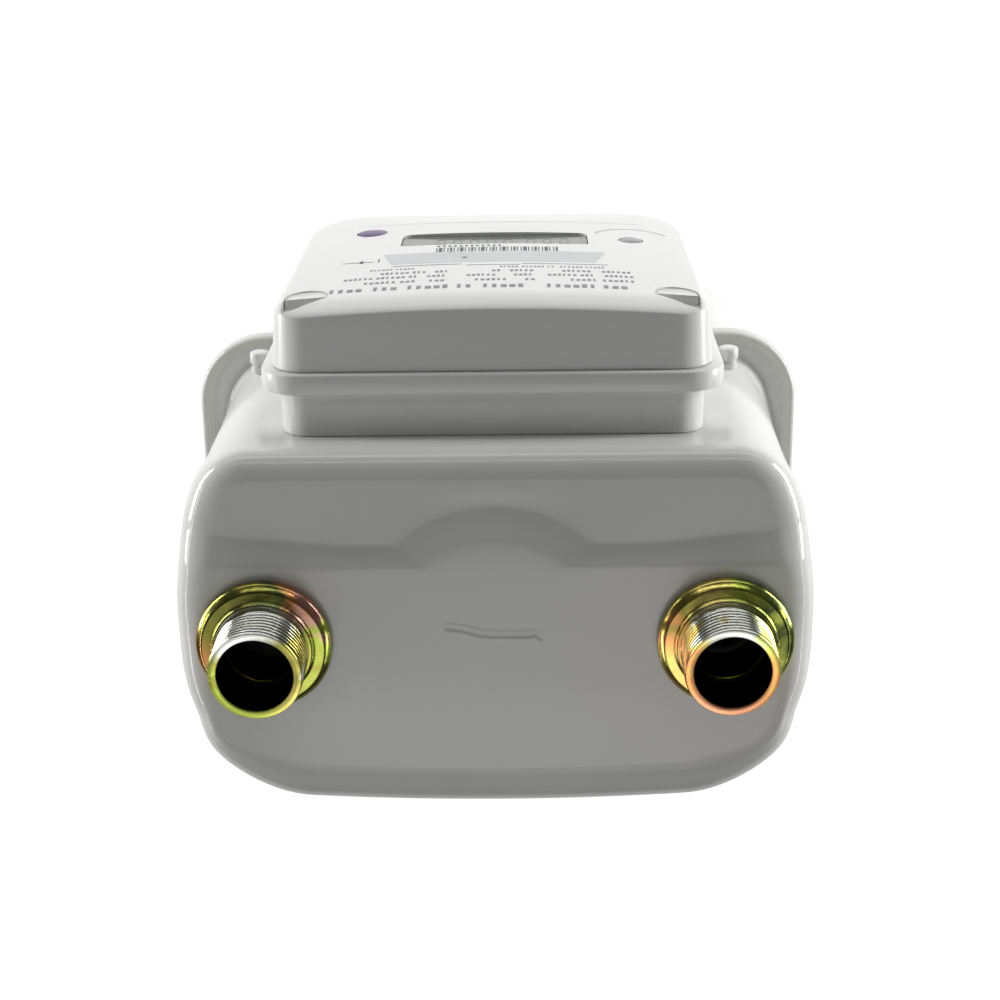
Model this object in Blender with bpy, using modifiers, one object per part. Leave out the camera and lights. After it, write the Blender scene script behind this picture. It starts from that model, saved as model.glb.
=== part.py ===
"""A domestic diaphragm gas meter: a two-piece pressed case with two threaded connections on top, an electronic
index on its front, and the measuring unit and shut-off valve inside.

Lengths are in millimetres and MM turns them into Blender's metres. +Z is up and the index faces -Y. The origin
is on the floor, under the middle of the whole meter.
"""

import math

import bmesh
import bpy
from mathutils import Matrix, Vector

MM = 0.001
GAP = 0.3
ROUND = 24

# Case
SEAM_Z = 103.0
TOP_Z = 197.5
PAD_Z = 200.0
SHEET = 1.2
TOP_EDGE = 10.0
DRAFT = 0.9
BAND_HEIGHT = 6.8
BAND_LIP = 3.4
GASKET_HALF = 0.6
RAISED_HALF_Y = 22.0
RAISED_END_X = 90.0
DISC_R = 38.0
# The plans run from the front to the back in arcs of (radius, angle it ends at, steps), each tangent to the
# last. The first arc's centre comes first.
BODY_PLAN = ((67.6, -26.0), [(17.0, -18.0, 5), (147.0, 10.5, 5), (36.0, 86.5, 6), (905.0, 90.0, 3)])
RIM_PLAN = ((73.9, -29.4), [(22.0, -0.5, 5), (4320.0, 0.5, 5), (36.0, 89.5, 6), (6900.0, 90.0, 3)])

# Connections
PORT_X = 65.0
PORT_Y = 11.5
PORT_TOP = 222.0
BORE_R = 11.0
THREAD_R = 13.2
THREAD_PITCH = 1.814
THREAD_DEPTH = 0.8
COLLAR_R = 19.25
COLLAR_TOP = 205.3
SPIGOT_R = 13.0
SPIGOT_BOTTOM = 190.0

# Index
BASE_HALF_X = 59.1
BASE_Z = (60.2, 180.0)
BASE_BACK_Y = -44.2
BASE_CORNER = 9.0
SKIRT_HALF_X = 64.4
SKIRT_Z = (55.4, 182.4)
SKIRT_Y = (-61.9, -53.8)
COVER_HALF_X = 61.1
COVER_Z = (57.8, 180.4)
COVER_CORNERS = (29.5, 9.0)
COVER_BACK_Y = -63.2
COVER_EDGE_Y = -79.8
COVER_FRONT_Y = -82.3
COVER_WALL = 2.0
NEAR_BEVEL = ((180.4, -78.0), (174.0, -82.3))
FAR_SLOPE = ((81.3, -82.3), (57.8, -79.7))
SCREW_X = 52.0
SCREW_Z = 168.6
POCKET_R = 5.0
POCKET_FLOOR_Y = -72.5
WINDOW_HALF_X = 29.1
WINDOW_Z = (97.0, 112.7)
BUTTON_X = 39.4
BUTTON_Z = 91.5
BUTTON_R = 4.6
LENS_X = -42.5
LENS_Z = 104.6
LENS_R = 3.65
POST_X = 69.0
POST_Z = 150.0

# Measuring unit
UNIT_Y = 16.0
BODY_X = (-64.0, 46.0)
BODY_Y = (-8.0, 40.0)
BODY_Z = (14.0, 97.3)
RECESS_R = 34.0
RECESS_Z = 56.0
PARTITION = 4.0
COVER_DEPTH = 27.0
TABLE_Z = (98.0, 104.0)
PLATE_R = 22.5
ROD_X = -52.0
ROD_R = 2.0
ROD_OFFSET = 38.0
FLAG_LENGTH = 28.0
ROCKER_LENGTH = 24.0
CRANK_R = 6.5
CRANK_TEETH = 36
MAGNET_TEETH = 18
MAGNET_Y = -22.0
SHUTTER_SIZE = (22.0, 18.0, 8.0)
SHUTTER_X = -14.0


def clear_scene():
    for obj in list(bpy.data.objects):
        bpy.data.objects.remove(obj, do_unlink=True)


def new_collection(name):
    made = bpy.data.collections.new(name)
    bpy.context.scene.collection.children.link(made)
    return made


def finish(name, colour, roughness, metallic=0.0):
    made = bpy.data.materials.new(name)
    made.use_nodes = True
    shader = made.node_tree.nodes["Principled BSDF"]
    shader.inputs["Base Color"].default_value = (*colour, 1.0)
    shader.inputs["Roughness"].default_value = roughness
    shader.inputs["Metallic"].default_value = metallic
    return made


clear_scene()
PARTS = new_collection("gas_meter")
CUTTERS = new_collection("cutters")

PAINT = finish("case_paint", (0.72, 0.73, 0.74), 0.35)
ZINC = finish("yellow_zinc", (0.62, 0.55, 0.22), 0.3, 1.0)
STEEL = finish("bright_steel", (0.6, 0.6, 0.61), 0.35, 1.0)
WHITE = finish("white_plastic", (0.84, 0.84, 0.83), 0.4)
BLACK = finish("black_rubber", (0.03, 0.03, 0.03), 0.7)
UNIT = finish("unit_plastic", (0.5, 0.52, 0.54), 0.5)
CREAM = finish("bearing_plastic", (0.75, 0.7, 0.58), 0.45)
FABRIC = finish("diaphragm_fabric", (0.2, 0.17, 0.15), 0.8)
GREEN = finish("board_green", (0.05, 0.2, 0.1), 0.45)
DARK = finish("dark_plastic", (0.06, 0.06, 0.07), 0.45)
LCD = finish("lcd_glass", (0.45, 0.5, 0.42), 0.2)
CLEAR = finish("window_plastic", (0.7, 0.75, 0.72), 0.1)
PURPLE = finish("button_plastic", (0.2, 0.14, 0.29), 0.4)
SMOKE = finish("lens_plastic", (0.25, 0.25, 0.27), 0.15)
SLEEVE = finish("battery_sleeve", (0.1, 0.3, 0.5), 0.4)
MAGNET = finish("magnet", (0.15, 0.15, 0.16), 0.5, 0.6)


# Shapes


def add(name, mesh, colour, at=(0, 0, 0), turn=(0, 0, 0)):
    """Puts a mesh, in millimetres about its own origin, in the scene as one sub-part."""
    mesh.transform(Matrix.Scale(MM, 4))
    obj = bpy.data.objects.new(name, mesh)
    obj.location = Vector(at) * MM
    obj.rotation_euler = [math.radians(angle) for angle in turn]
    obj.data.materials.append(colour)
    PARTS.objects.link(obj)
    return obj


def as_cutter(obj):
    """Takes an object out of the parts and keeps it as a tool for a Boolean."""
    PARTS.objects.unlink(obj)
    CUTTERS.objects.link(obj)
    obj.hide_render = True
    obj.display_type = "WIRE"
    return obj


def boolean(obj, other, operation):
    tool = as_cutter(other)
    modifier = obj.modifiers.new(operation.lower(), "BOOLEAN")
    modifier.operation = operation
    modifier.object = tool
    return obj


def cut(obj, other):
    return boolean(obj, other, "DIFFERENCE")


def join(obj, other):
    return boolean(obj, other, "UNION")


def common(obj, other):
    return boolean(obj, other, "INTERSECT")


def mesh_of(shape):
    mesh = bpy.data.meshes.new("shape")
    shape.to_mesh(mesh)
    shape.free()
    return mesh


def block(name, low, high, colour):
    """A box between two corners."""
    low = Vector(low)
    high = Vector(high)
    shape = bmesh.new()
    bmesh.ops.create_cube(shape, size=1)
    bmesh.ops.scale(shape, vec=high - low, verts=shape.verts)
    return add(name, mesh_of(shape), colour, at=(low + high) / 2)


def turned(name, profile, colour, at=(0, 0, 0), turn=(0, 0, 0), ring=False, steps=ROUND):
    """Turns a profile of (radius, height) points about Z. A ring's profile is a closed loop."""
    mesh = bpy.data.meshes.new(name)
    points = [(radius, 0, height) for radius, height in profile]
    edges = [(index, index + 1) for index in range(len(points) - 1)]
    if ring:
        edges.append((len(points) - 1, 0))
    mesh.from_pydata(points, edges, [])
    obj = add(name, mesh, colour, at, turn)
    screw = obj.modifiers.new("turn", "SCREW")
    screw.steps = steps
    screw.render_steps = steps
    screw.use_merge_vertices = True
    screw.merge_threshold = 0.00001
    screw.use_smooth_shade = True
    return obj


def rod(name, radius, length, colour, at, turn=(0, 0, 0), steps=ROUND):
    """A solid cylinder whose base centre is at the given point."""
    profile = [(0, length), (radius, length), (radius, 0), (0, 0)]
    return turned(name, profile, colour, at, turn, steps=steps)


def sleeve(name, inner, outer, low, high, colour, at, turn=(0, 0, 0)):
    """A plain ring between two radii and two heights."""
    profile = [(inner, high), (outer, high), (outer, low), (inner, low)]
    return turned(name, profile, colour, at, turn, ring=True)


def flat(name, outlines, thickness, colour, at=(0, 0, 0), turn=(0, 0, 0)):
    """A flat outline, with any holes as further outlines, made into a plate on both sides of its plane."""
    curve = bpy.data.curves.new(name, "CURVE")
    curve.dimensions = "2D"
    curve.fill_mode = "BOTH"
    curve.extrude = thickness / 2
    for outline in outlines:
        spline = curve.splines.new("POLY")
        spline.points.add(len(outline) - 1)
        for point, (x, y) in zip(spline.points, outline):
            point.co = (x, y, 0, 1)
        spline.use_cyclic_u = True
    return from_curve(name, curve, colour, at, turn)


def from_curve(name, curve, colour, at, turn):
    """Makes a curve's solid a mesh, welded, as one sub-part."""
    guide = bpy.data.objects.new(name, curve)
    CUTTERS.objects.link(guide)
    evaluated = guide.evaluated_get(bpy.context.evaluated_depsgraph_get())
    shape = bmesh.new()
    shape.from_mesh(bpy.data.meshes.new_from_object(evaluated))
    bmesh.ops.remove_doubles(shape, verts=shape.verts, dist=0.001)
    bmesh.ops.recalc_face_normals(shape, faces=shape.faces)
    bpy.data.objects.remove(guide, do_unlink=True)
    return add(name, mesh_of(shape), colour, at, turn)


def arc(centre, radius, start, end, steps):
    """Points on an arc, in degrees anticlockwise."""
    points = []
    for step in range(steps + 1):
        angle = math.radians(start + (end - start) * step / steps)
        points.append((centre[0] + radius * math.cos(angle), centre[1] + radius * math.sin(angle)))
    return points


def circle(centre, radius, steps=16):
    return arc(centre, radius, 0, 360, steps)[:-1]


def round_rectangle(half_x, half_y, radius, steps=6):
    points = []
    for corner, (side_x, side_y) in enumerate([(1, 1), (-1, 1), (-1, -1), (1, -1)]):
        centre = (side_x * (half_x - radius), side_y * (half_y - radius))
        points += arc(centre, radius, 90 * corner, 90 * corner + 90, steps)
    return points


def lever(length, hub_radius, tip_radius, angle=0.0):
    """A tapering lever with a round hub at the origin and a round tip at the given angle."""
    tip = (length * math.cos(math.radians(angle)), length * math.sin(math.radians(angle)))
    points = arc((0, 0), hub_radius, angle + 90, angle + 270, 8)
    points += arc(tip, tip_radius, angle - 90, angle + 90, 8)
    return points, tip


def gear(teeth, pitch_radius):
    """A spur gear's outline with a tooth centred on +X and room between meshed teeth."""
    step = 2 * math.pi / teeth
    points = []
    for tooth in range(teeth):
        for share, radius in [
            (-0.26, pitch_radius - 1.6),
            (-0.12, pitch_radius + 1.1),
            (0.12, pitch_radius + 1.1),
            (0.26, pitch_radius - 1.6),
        ]:
            angle = (tooth + share) * step
            points.append((radius * math.cos(angle), radius * math.sin(angle)))
    return points


def open_box(name, low, high, open_side, wall, colour):
    """A box of the given wall thickness, with one side left off."""
    obj = block(name, low, high, colour)
    shape = bmesh.new()
    shape.from_mesh(obj.data)
    missing = [face for face in shape.faces if face.normal.dot(Vector(open_side)) > 0.9]
    bmesh.ops.delete(shape, geom=missing, context="FACES")
    shape.to_mesh(obj.data)
    shape.free()
    shell = obj.modifiers.new("wall", "SOLIDIFY")
    shell.thickness = wall * MM
    shell.offset = -1
    shell.use_even_offset = True
    return obj


# Case


def plan_outline(plan, inset):
    """A left-right symmetric plan of tangent arcs, drawn inset from the outside."""
    centre, bends = plan
    centre = Vector(centre)
    start = -90.0
    half = []
    for index, (radius, end, steps) in enumerate(bends):
        points = arc(centre, radius - inset, start, end, steps)
        half += points if index == 0 else points[1:]
        if index + 1 < len(bends):
            turn = math.radians(end)
            centre += (radius - bends[index + 1][0]) * Vector((math.cos(turn), math.sin(turn)))
            start = end
    return half[:-1] + [(0.0, half[-1][1])] + [(-x, y) for x, y in reversed(half[:-1])]


def pressed_tray(name, seam_z, end_z):
    """A deep-drawn half of the case: a flange out to the rim, a drafted wall, a rounded edge and a flat end."""
    way = math.copysign(1, end_z - seam_z)
    rings = [
        (plan_outline(RIM_PLAN, 1 + GAP), seam_z),
        (plan_outline(BODY_PLAN, -DRAFT), seam_z),
        (plan_outline(BODY_PLAN, 0), end_z - way * TOP_EDGE),
    ]
    for angle in (22.5, 45, 67.5, 90):
        turn = math.radians(angle)
        inset = TOP_EDGE * (1 - math.cos(turn))
        rings.append((plan_outline(BODY_PLAN, inset), end_z - way * TOP_EDGE * (1 - math.sin(turn))))
    shape = bmesh.new()
    loops = [[shape.verts.new((x, y, z)) for x, y in outline] for outline, z in rings]
    for lower, upper in zip(loops, loops[1:]):
        for index, vert in enumerate(lower):
            beside = (index + 1) % len(lower)
            shape.faces.new((vert, lower[beside], upper[beside], upper[index]))
    shape.faces.new(loops[-1])
    bmesh.ops.recalc_face_normals(shape, faces=shape.faces)
    shape.faces.ensure_lookup_table()
    if shape.faces[-1].normal.z * way < 0:
        bmesh.ops.reverse_faces(shape, faces=shape.faces)
    obj = add(name, mesh_of(shape), PAINT)
    sheet = obj.modifiers.new("sheet", "SOLIDIFY")
    sheet.thickness = SHEET * MM
    sheet.offset = -1
    sheet.use_even_offset = True
    return obj


def raised_band():
    """The strip across the top that carries the connections, following the case over both top edges."""
    centre = (RAISED_END_X - TOP_EDGE, TOP_Z - TOP_EDGE)
    outside = []
    inside = []
    for angle in range(0, 91, 15):
        turn = math.radians(angle)
        outside.append((centre[0] + TOP_EDGE * math.cos(turn), centre[1] + (PAD_Z - centre[1]) * math.sin(turn)))
        depth = TOP_EDGE - 3
        inside.append((centre[0] + depth * math.cos(turn), centre[1] + (depth + 2.4) * math.sin(turn)))
    left_outside = [(-x, z) for x, z in reversed(outside)]
    left_inside = [(-x, z) for x, z in inside]
    outline = outside + left_outside + left_inside + list(reversed(inside))
    thickness = 2 * RAISED_HALF_Y
    return flat("raised_band", [outline], thickness, PAINT, at=(0, PORT_Y, 0), turn=(90, 0, 0))


def make_case():
    flange_z = GASKET_HALF + GAP + SHEET
    upper = pressed_tray("upper_shell", SEAM_Z + flange_z, TOP_Z)
    join(upper, raised_band())
    disc = [(0, 201.5), (DISC_R - 6, 201.5), (DISC_R, 200.2), (DISC_R + 1, 196.0), (0, 196.0)]
    join(upper, turned("pad_disc", disc, PAINT, at=(0, PORT_Y, 0), steps=36))
    for side in (-1, 1):
        hole = rod("port_hole", SPIGOT_R + GAP, 30, PAINT, at=(side * PORT_X, PORT_Y, TOP_Z - 15))
        cut(upper, hole)
    pressed_tray("lower_shell", SEAM_Z - flange_z, 0)

    at = (0, 0, SEAM_Z)
    gasket = [plan_outline(RIM_PLAN, 1.5), plan_outline(BODY_PLAN, SHEET - DRAFT)]
    flat("seam_gasket", gasket, 2 * GASKET_HALF, BLACK, at)
    band = flat("seam_band", [plan_outline(RIM_PLAN, 0), plan_outline(RIM_PLAN, BAND_LIP)], BAND_HEIGHT, PAINT, at)
    groove = [plan_outline(RIM_PLAN, 1), plan_outline(RIM_PLAN, BAND_LIP + 1)]
    cut(band, flat("seam_groove", groove, 2 * (flange_z + GAP), PAINT, at))


def port_profile():
    """A connection's wall: bore, sealing face, thread, collar with its sealing groove, and spigot."""
    profile = [(BORE_R, PORT_TOP), (THREAD_R - 0.7, PORT_TOP), (THREAD_R, PORT_TOP - 0.7)]
    turns = int((PORT_TOP - COLLAR_TOP - 2.4) / THREAD_PITCH)
    for turn in range(turns):
        root = PORT_TOP - 0.7 - (turn + 0.6) * THREAD_PITCH
        profile.append((THREAD_R - THREAD_DEPTH, root))
        profile.append((THREAD_R, root - 0.4 * THREAD_PITCH))
    profile += [(THREAD_R - THREAD_DEPTH, COLLAR_TOP + 1.0), (THREAD_R - THREAD_DEPTH, COLLAR_TOP)]
    profile += [(COLLAR_R - 0.8, COLLAR_TOP), (COLLAR_R, COLLAR_TOP - 0.8), (COLLAR_R, PAD_Z + GAP)]
    profile += [(17.5, PAD_Z + GAP), (17.5, PAD_Z + 2.2), (14.9, PAD_Z + 2.2), (14.9, PAD_Z + GAP)]
    profile += [(SPIGOT_R, PAD_Z + GAP), (SPIGOT_R, SPIGOT_BOTTOM), (BORE_R - 1, SPIGOT_BOTTOM)]
    profile += [(BORE_R - 1, COLLAR_TOP), (BORE_R, COLLAR_TOP + 0.8)]
    return profile


def make_connections():
    for name, side in [("inlet", -1), ("outlet", 1)]:
        at = (side * PORT_X, PORT_Y, 0)
        turned(name + "_boss", port_profile(), ZINC, at, ring=True)
        sleeve(name + "_boss_gasket", 15.2, 17.2, PAD_Z + GAP, PAD_Z + 1.9, BLACK, at)


# Shut-off valve under the inlet


def make_shut_off_valve():
    at = (-PORT_X, PORT_Y, 0)
    wall = [(13.3, 193), (16.5, 193), (16.5, 150), (3, 150), (3, 152), (14.5, 152)]
    wall += [(14.5, 186), (9, 186), (9, 188.5), (13.3, 188.5)]
    housing = turned("valve_housing", wall, CREAM, at, ring=True)
    for turn in (0, 90):
        window = block("valve_window", (-20, -7, 157), (20, 7, 181), CREAM)
        window.location = (at[0] * MM, at[1] * MM, 169 * MM)
        window.rotation_euler = (0, 0, math.radians(turn))
        cut(housing, window)
    motor = [(0, 136), (2.6, 136), (2.6, 149.7), (11, 149.7), (11, 130), (0, 130)]
    turned("valve_motor", motor, STEEL, at)
    plunger = [(0, 176.5), (13, 176.5), (13, 174), (ROD_R, 174), (ROD_R, 140), (0, 140)]
    turned("valve_plunger", plunger, CREAM, at)
    rod("valve_seal", 12, 2.2, BLACK, at=(at[0], at[1], 176.8))


def make_outlet_pipe():
    at = (PORT_X, PORT_Y, 0)
    bottom = TABLE_Z[1] + GAP
    wall = [(14.6, 193), (16.2, 193), (16.2, 184), (12, 180), (12, bottom + 3), (18, bottom + 3)]
    wall += [(18, bottom), (10, bottom), (10, 182), (14.6, 186.5)]
    turned("outlet_pipe", wall, UNIT, at, ring=True)
    sleeve("outlet_pipe_seal", SPIGOT_R + GAP, 14.3, 187, 192.5, BLACK, at)


# Measuring unit


def make_chambers():
    feet = [(-58, 1.6), (-40, 1.6), (-40, 12), (30, 12), (30, 1.6), (48, 1.6), (48, 3.2), (31.6, 3.2)]
    feet += [(31.6, 13.6), (-41.6, 13.6), (-41.6, 3.2), (-58, 3.2)]
    flat("chamber_support", [feet], 30, STEEL, at=(0, UNIT_Y, 0), turn=(90, 0, 0))

    body = block(
        "chamber_body", (BODY_X[0], BODY_Y[0], BODY_Z[0]), (BODY_X[1], BODY_Y[1], BODY_Z[1]), UNIT
    )
    depth = (BODY_Y[1] - BODY_Y[0] - PARTITION) / 2
    for side, name in [(-1, "front"), (1, "rear")]:
        face_y = BODY_Y[0] if side < 0 else BODY_Y[1]
        start = (0, face_y + side, RECESS_Z)
        turn = (-90, 0, 0) if side < 0 else (90, 0, 0)
        cut(body, rod(name + "_recess", RECESS_R, depth + 1, UNIT, start, turn))
        port_y = face_y - side * 10
        cut(body, block(name + "_port", (-18, port_y - 4, 85), (-10, port_y + 4, 99), UNIT))

        low = (BODY_X[0], min(face_y + side * GAP, face_y + side * COVER_DEPTH), BODY_Z[0])
        high = (BODY_X[1], max(face_y + side * GAP, face_y + side * COVER_DEPTH), BODY_Z[1] - 0.5)
        pan = open_box(name + "_chamber_cover", low, high, (0, -side, 0), 2, UNIT)
        rod_y = UNIT_Y + side * ROD_OFFSET
        cut(pan, rod(name + "_rod_hole", ROD_R + 0.4, 12, UNIT, at=(ROD_X, rod_y, 90), steps=12))

        # A turned piece that faces the chamber points along the stroke.
        outward = (90, 0, 0) if side < 0 else (-90, 0, 0)
        centre = (0, face_y, RECESS_Z)
        fold = [(23.2, 1.3), (24, 1.3), (28.5, -3.3), (33, 1.3), (38, 1.3), (38, 0.4), (33.4, 0.4)]
        fold += [(28.5, -4.5), (23.6, 0.4), (23.2, 0.4)]
        turned(name + "_diaphragm", fold, FABRIC, centre, outward, ring=True)
        sleeve(name + "_clamp_ring", 34.3, 38, 1.6, 3.6, UNIT, centre, outward)
        make_plate(name, side, face_y)


def make_plate(name, side, face_y):
    """A diaphragm's stiff plate with the fork that the flag arm works in."""
    outward = (90, 0, 0) if side < 0 else (-90, 0, 0)
    centre = (0, face_y, RECESS_Z)
    plate = turned(
        name + "_diaphragm_plate", [(0, 2.3), (PLATE_R, 2.3), (PLATE_R, -0.7), (0, -0.7)], STEEL, centre, outward
    )
    tip_x = ROD_X + FLAG_LENGTH
    for low_z in (RECESS_Z - 4, RECESS_Z + 2):
        near = face_y + side * 1.5
        far = face_y + side * 16.5
        low = (tip_x + 4.2, min(near, far), low_z)
        high = (tip_x + 10.2, max(near, far), low_z + 2)
        join(plate, block(name + "_fork", low, high, STEEL))
        low = (tip_x - 3, min(far, far - side * 5), low_z)
        high = (tip_x + 5, max(far, far - side * 5), low_z + 2)
        join(plate, block(name + "_fork_end", low, high, STEEL))


def make_valve_table():
    outline = [(-66, -28), (76, -28), (81, -18), (81, 44), (70, 60), (-66, 60)]
    thickness = TABLE_Z[1] - TABLE_Z[0]
    table = flat("valve_table", [outline], thickness, UNIT, at=(0, 0, TABLE_Z[0] + thickness / 2))
    cut(table, rod("outlet_hole", 10, 20, UNIT, at=(PORT_X, PORT_Y, 92)))
    for side, name in [(-1, "front"), (1, "rear")]:
        rod_y = UNIT_Y + side * ROD_OFFSET
        cut(table, rod(name + "_gland", ROD_R + 0.4, 20, UNIT, at=(ROD_X, rod_y, 92), steps=12))
        shutter_y = UNIT_Y + side * 14
        for slot_x in (-6, 0, 6):
            low = (SHUTTER_X + slot_x - 1.5, shutter_y - 5, TABLE_Z[0] - 1)
            high = (SHUTTER_X + slot_x + 1.5, shutter_y + 5, TABLE_Z[1] + 1)
            cut(table, block(name + "_slot", low, high, UNIT))
        length, width, height = SHUTTER_SIZE
        low = (SHUTTER_X - length / 2, shutter_y - width / 2, TABLE_Z[1] + GAP)
        high = (SHUTTER_X + length / 2, shutter_y + width / 2, TABLE_Z[1] + GAP + height)
        open_box("valve_cover_" + name, low, high, (0, 0, -1), 2, DARK)


def make_flags():
    """The rods that carry each diaphragm's stroke up through the valve table, with an arm at each end."""
    for side, name in [(-1, "front"), (1, "rear")]:
        at_y = UNIT_Y + side * ROD_OFFSET
        rod("flag_rod_" + name, ROD_R, 98, STEEL, at=(ROD_X, at_y, 20.5), steps=12)
        hole = circle((0, 0), ROD_R + 0.3, 12)
        flag, _ = lever(FLAG_LENGTH, 4, 2)
        flat("flag_arm_" + name, [flag, hole], 3, CREAM, at=(ROD_X, at_y, RECESS_Z))
        rocker, _ = lever(ROCKER_LENGTH, 4.5, 3)
        flat("rocker_arm_" + name, [rocker, hole], 2.5, CREAM, at=(ROD_X, at_y, 115.3))


def make_crank():
    axis = (0, UNIT_Y, 0)
    profile = [(0, 147), (4.6, 147), (4.6, 144.4), (3, 144.4), (3, 129.5), (10, 129.5), (10, 126.5), (0, 126.5)]
    shaft = turned("crankshaft", profile, STEEL, axis)
    join(shaft, rod("crank_pin", ROD_R, 9.5, STEEL, at=(CRANK_R, UNIT_Y, 118), steps=12))

    distance = UNIT_Y - MAGNET_Y
    crank_pitch = distance * CRANK_TEETH / (CRANK_TEETH + MAGNET_TEETH)
    magnet_pitch = distance - crank_pitch
    flat("crank_gear", [gear(CRANK_TEETH, crank_pitch), circle((0, 0), 3.3)], 4, CREAM, at=(0, UNIT_Y, 134))

    wheel = flat("magnet_wheel", [gear(MAGNET_TEETH, magnet_pitch)], 4, CREAM, at=(0, MAGNET_Y, 134))
    join(wheel, rod("magnet_shaft", ROD_R, 21, CREAM, at=(0, MAGNET_Y, 125), steps=12))
    sleeve("drive_magnet", ROD_R + GAP, 8, 125.5, 131.7, MAGNET, at=(0, MAGNET_Y, 0))

    for side, name, height in [(-1, "front", 120), (1, "rear", 122.6)]:
        rocker_tip = (ROD_X + ROCKER_LENGTH, UNIT_Y + side * ROD_OFFSET)
        reach = (rocker_tip[0] - CRANK_R, rocker_tip[1] - UNIT_Y)
        angle = math.degrees(math.atan2(reach[1], reach[0]))
        outline, tip = lever(math.hypot(*reach), 4.5, 4, angle)
        holes = [circle((0, 0), ROD_R + 0.3, 12), circle(tip, 2, 12)]
        flat("link_" + name, [outline, *holes], 2, STEEL, at=(CRANK_R, UNIT_Y, height))

    arm = block("crank_bracket", (-8, -33, 138), (8, 24, 144), UNIT)
    join(arm, block("bracket_arm", (5, 7, 138), (36, 24, 144), UNIT))
    join(arm, block("bracket_upright", (32.5, 7.5, 104.5), (36, 23.5, 143.5), UNIT))
    join(arm, block("bracket_foot", (33, 7, TABLE_Z[1] + GAP), (46, 24, 107.5), UNIT))
    cut(arm, rod("crank_bearing", 3.4, 20, UNIT, at=(0, UNIT_Y, 130)))
    cut(arm, rod("magnet_bearing", ROD_R + 0.4, 20, UNIT, at=(0, MAGNET_Y, 130), steps=12))


# Index


def cover_outline(inset):
    """The index cover seen from the front, as (x, z), with large corners below and small ones above."""
    points = []
    for start, side_x, end in [(0, 1, 1), (90, -1, 1), (180, -1, 0), (270, 1, 0)]:
        radius = COVER_CORNERS[end]
        centre_z = COVER_Z[end] + (radius if end == 0 else -radius)
        centre = (side_x * (COVER_HALF_X - radius), centre_z)
        points += arc(centre, radius - inset, start, start + 90, 6)
    return points


def crowned_outline(inset, back_y):
    """The index cover's cross-section, with its curved front and bevelled sides, drawn inset from the outside."""
    half = COVER_HALF_X - inset
    rise = COVER_EDGE_Y - COVER_FRONT_Y
    bevel_y = COVER_EDGE_Y + 4.5
    points = [(half, back_y), (-half, back_y), (-half, bevel_y)]
    shoulder = half - 2.5
    for step in range(-6, 7):
        share = step / 6
        points.append((shoulder * share, COVER_EDGE_Y + inset - rise * (1 - share * share)))
    points.append((half, bevel_y))
    return points


def cover_form(name, inset, back_y):
    """The index cover's outside or, drawn inset, its hollow."""
    deep = back_y - COVER_FRONT_Y + 5
    at = (0, back_y - deep / 2, 0)
    form = flat(name, [cover_outline(inset)], deep, WHITE, at, (90, 0, 0))
    middle_z = (COVER_Z[0] + COVER_Z[1]) / 2
    common(form, flat(name + "_crown", [crowned_outline(inset, back_y + 1)], 160, WHITE, at=(0, 0, middle_z)))
    for start, end in (NEAR_BEVEL, FAR_SLOPE):
        # The slope is drawn with its height along X, then stood up.
        along = (Vector(end) - Vector(start)).normalized()
        inward = Vector((along.y, -along.x))
        if inward.y < 0:
            inward.negate()
        line = [Vector(start) + inset * inward - 12 * along, Vector(end) + inset * inward + 12 * along]
        slab = [line[0], line[1], line[1] - 20 * inward, line[0] - 20 * inward]
        cut(form, flat(name + "_slope", [[tuple(point) for point in slab]], 140, WHITE, turn=(0, -90, 0)))
    return form


def make_index_cover():
    cover = cover_form("index_cover", 0, COVER_BACK_Y)
    cut(cover, cover_form("cover_hollow", COVER_WALL, COVER_BACK_Y + 4))
    for side in (-1, 1):
        at = (side * SCREW_X, COVER_BACK_Y - 7.6, SCREW_Z)
        join(cover, rod("screw_boss", 6.6, 9, WHITE, at, (90, 0, 0)))
        cut(cover, rod("screw_pocket", POCKET_R, 12, WHITE, (at[0], POCKET_FLOOR_Y, SCREW_Z), (90, 0, 0)))
        cut(cover, rod("screw_passage", 2, 30, WHITE, (at[0], -55, SCREW_Z), (90, 0, 0), steps=12))
    low = (-WINDOW_HALF_X, -90, WINDOW_Z[0])
    high = (WINDOW_HALF_X, -70, WINDOW_Z[1])
    cut(cover, block("window_opening", low, high, WHITE))
    cut(cover, rod("button_hole", BUTTON_R + GAP, 20, WHITE, (BUTTON_X, -70, BUTTON_Z), (90, 0, 0)))
    cut(cover, rod("lens_hole", LENS_R + GAP, 20, WHITE, (LENS_X, -70, LENS_Z), (90, 0, 0)))


def upright_frame(name, half_x, low_z, high_z, corner, near_y, far_y, colour):
    """A rounded rectangle seen from the front, between two depths."""
    outline = round_rectangle(half_x, (high_z - low_z) / 2, corner, 4)
    at = (0, (near_y + far_y) / 2, (low_z + high_z) / 2)
    return flat(name, [outline], abs(far_y - near_y), colour, at, (90, 0, 0))


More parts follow.
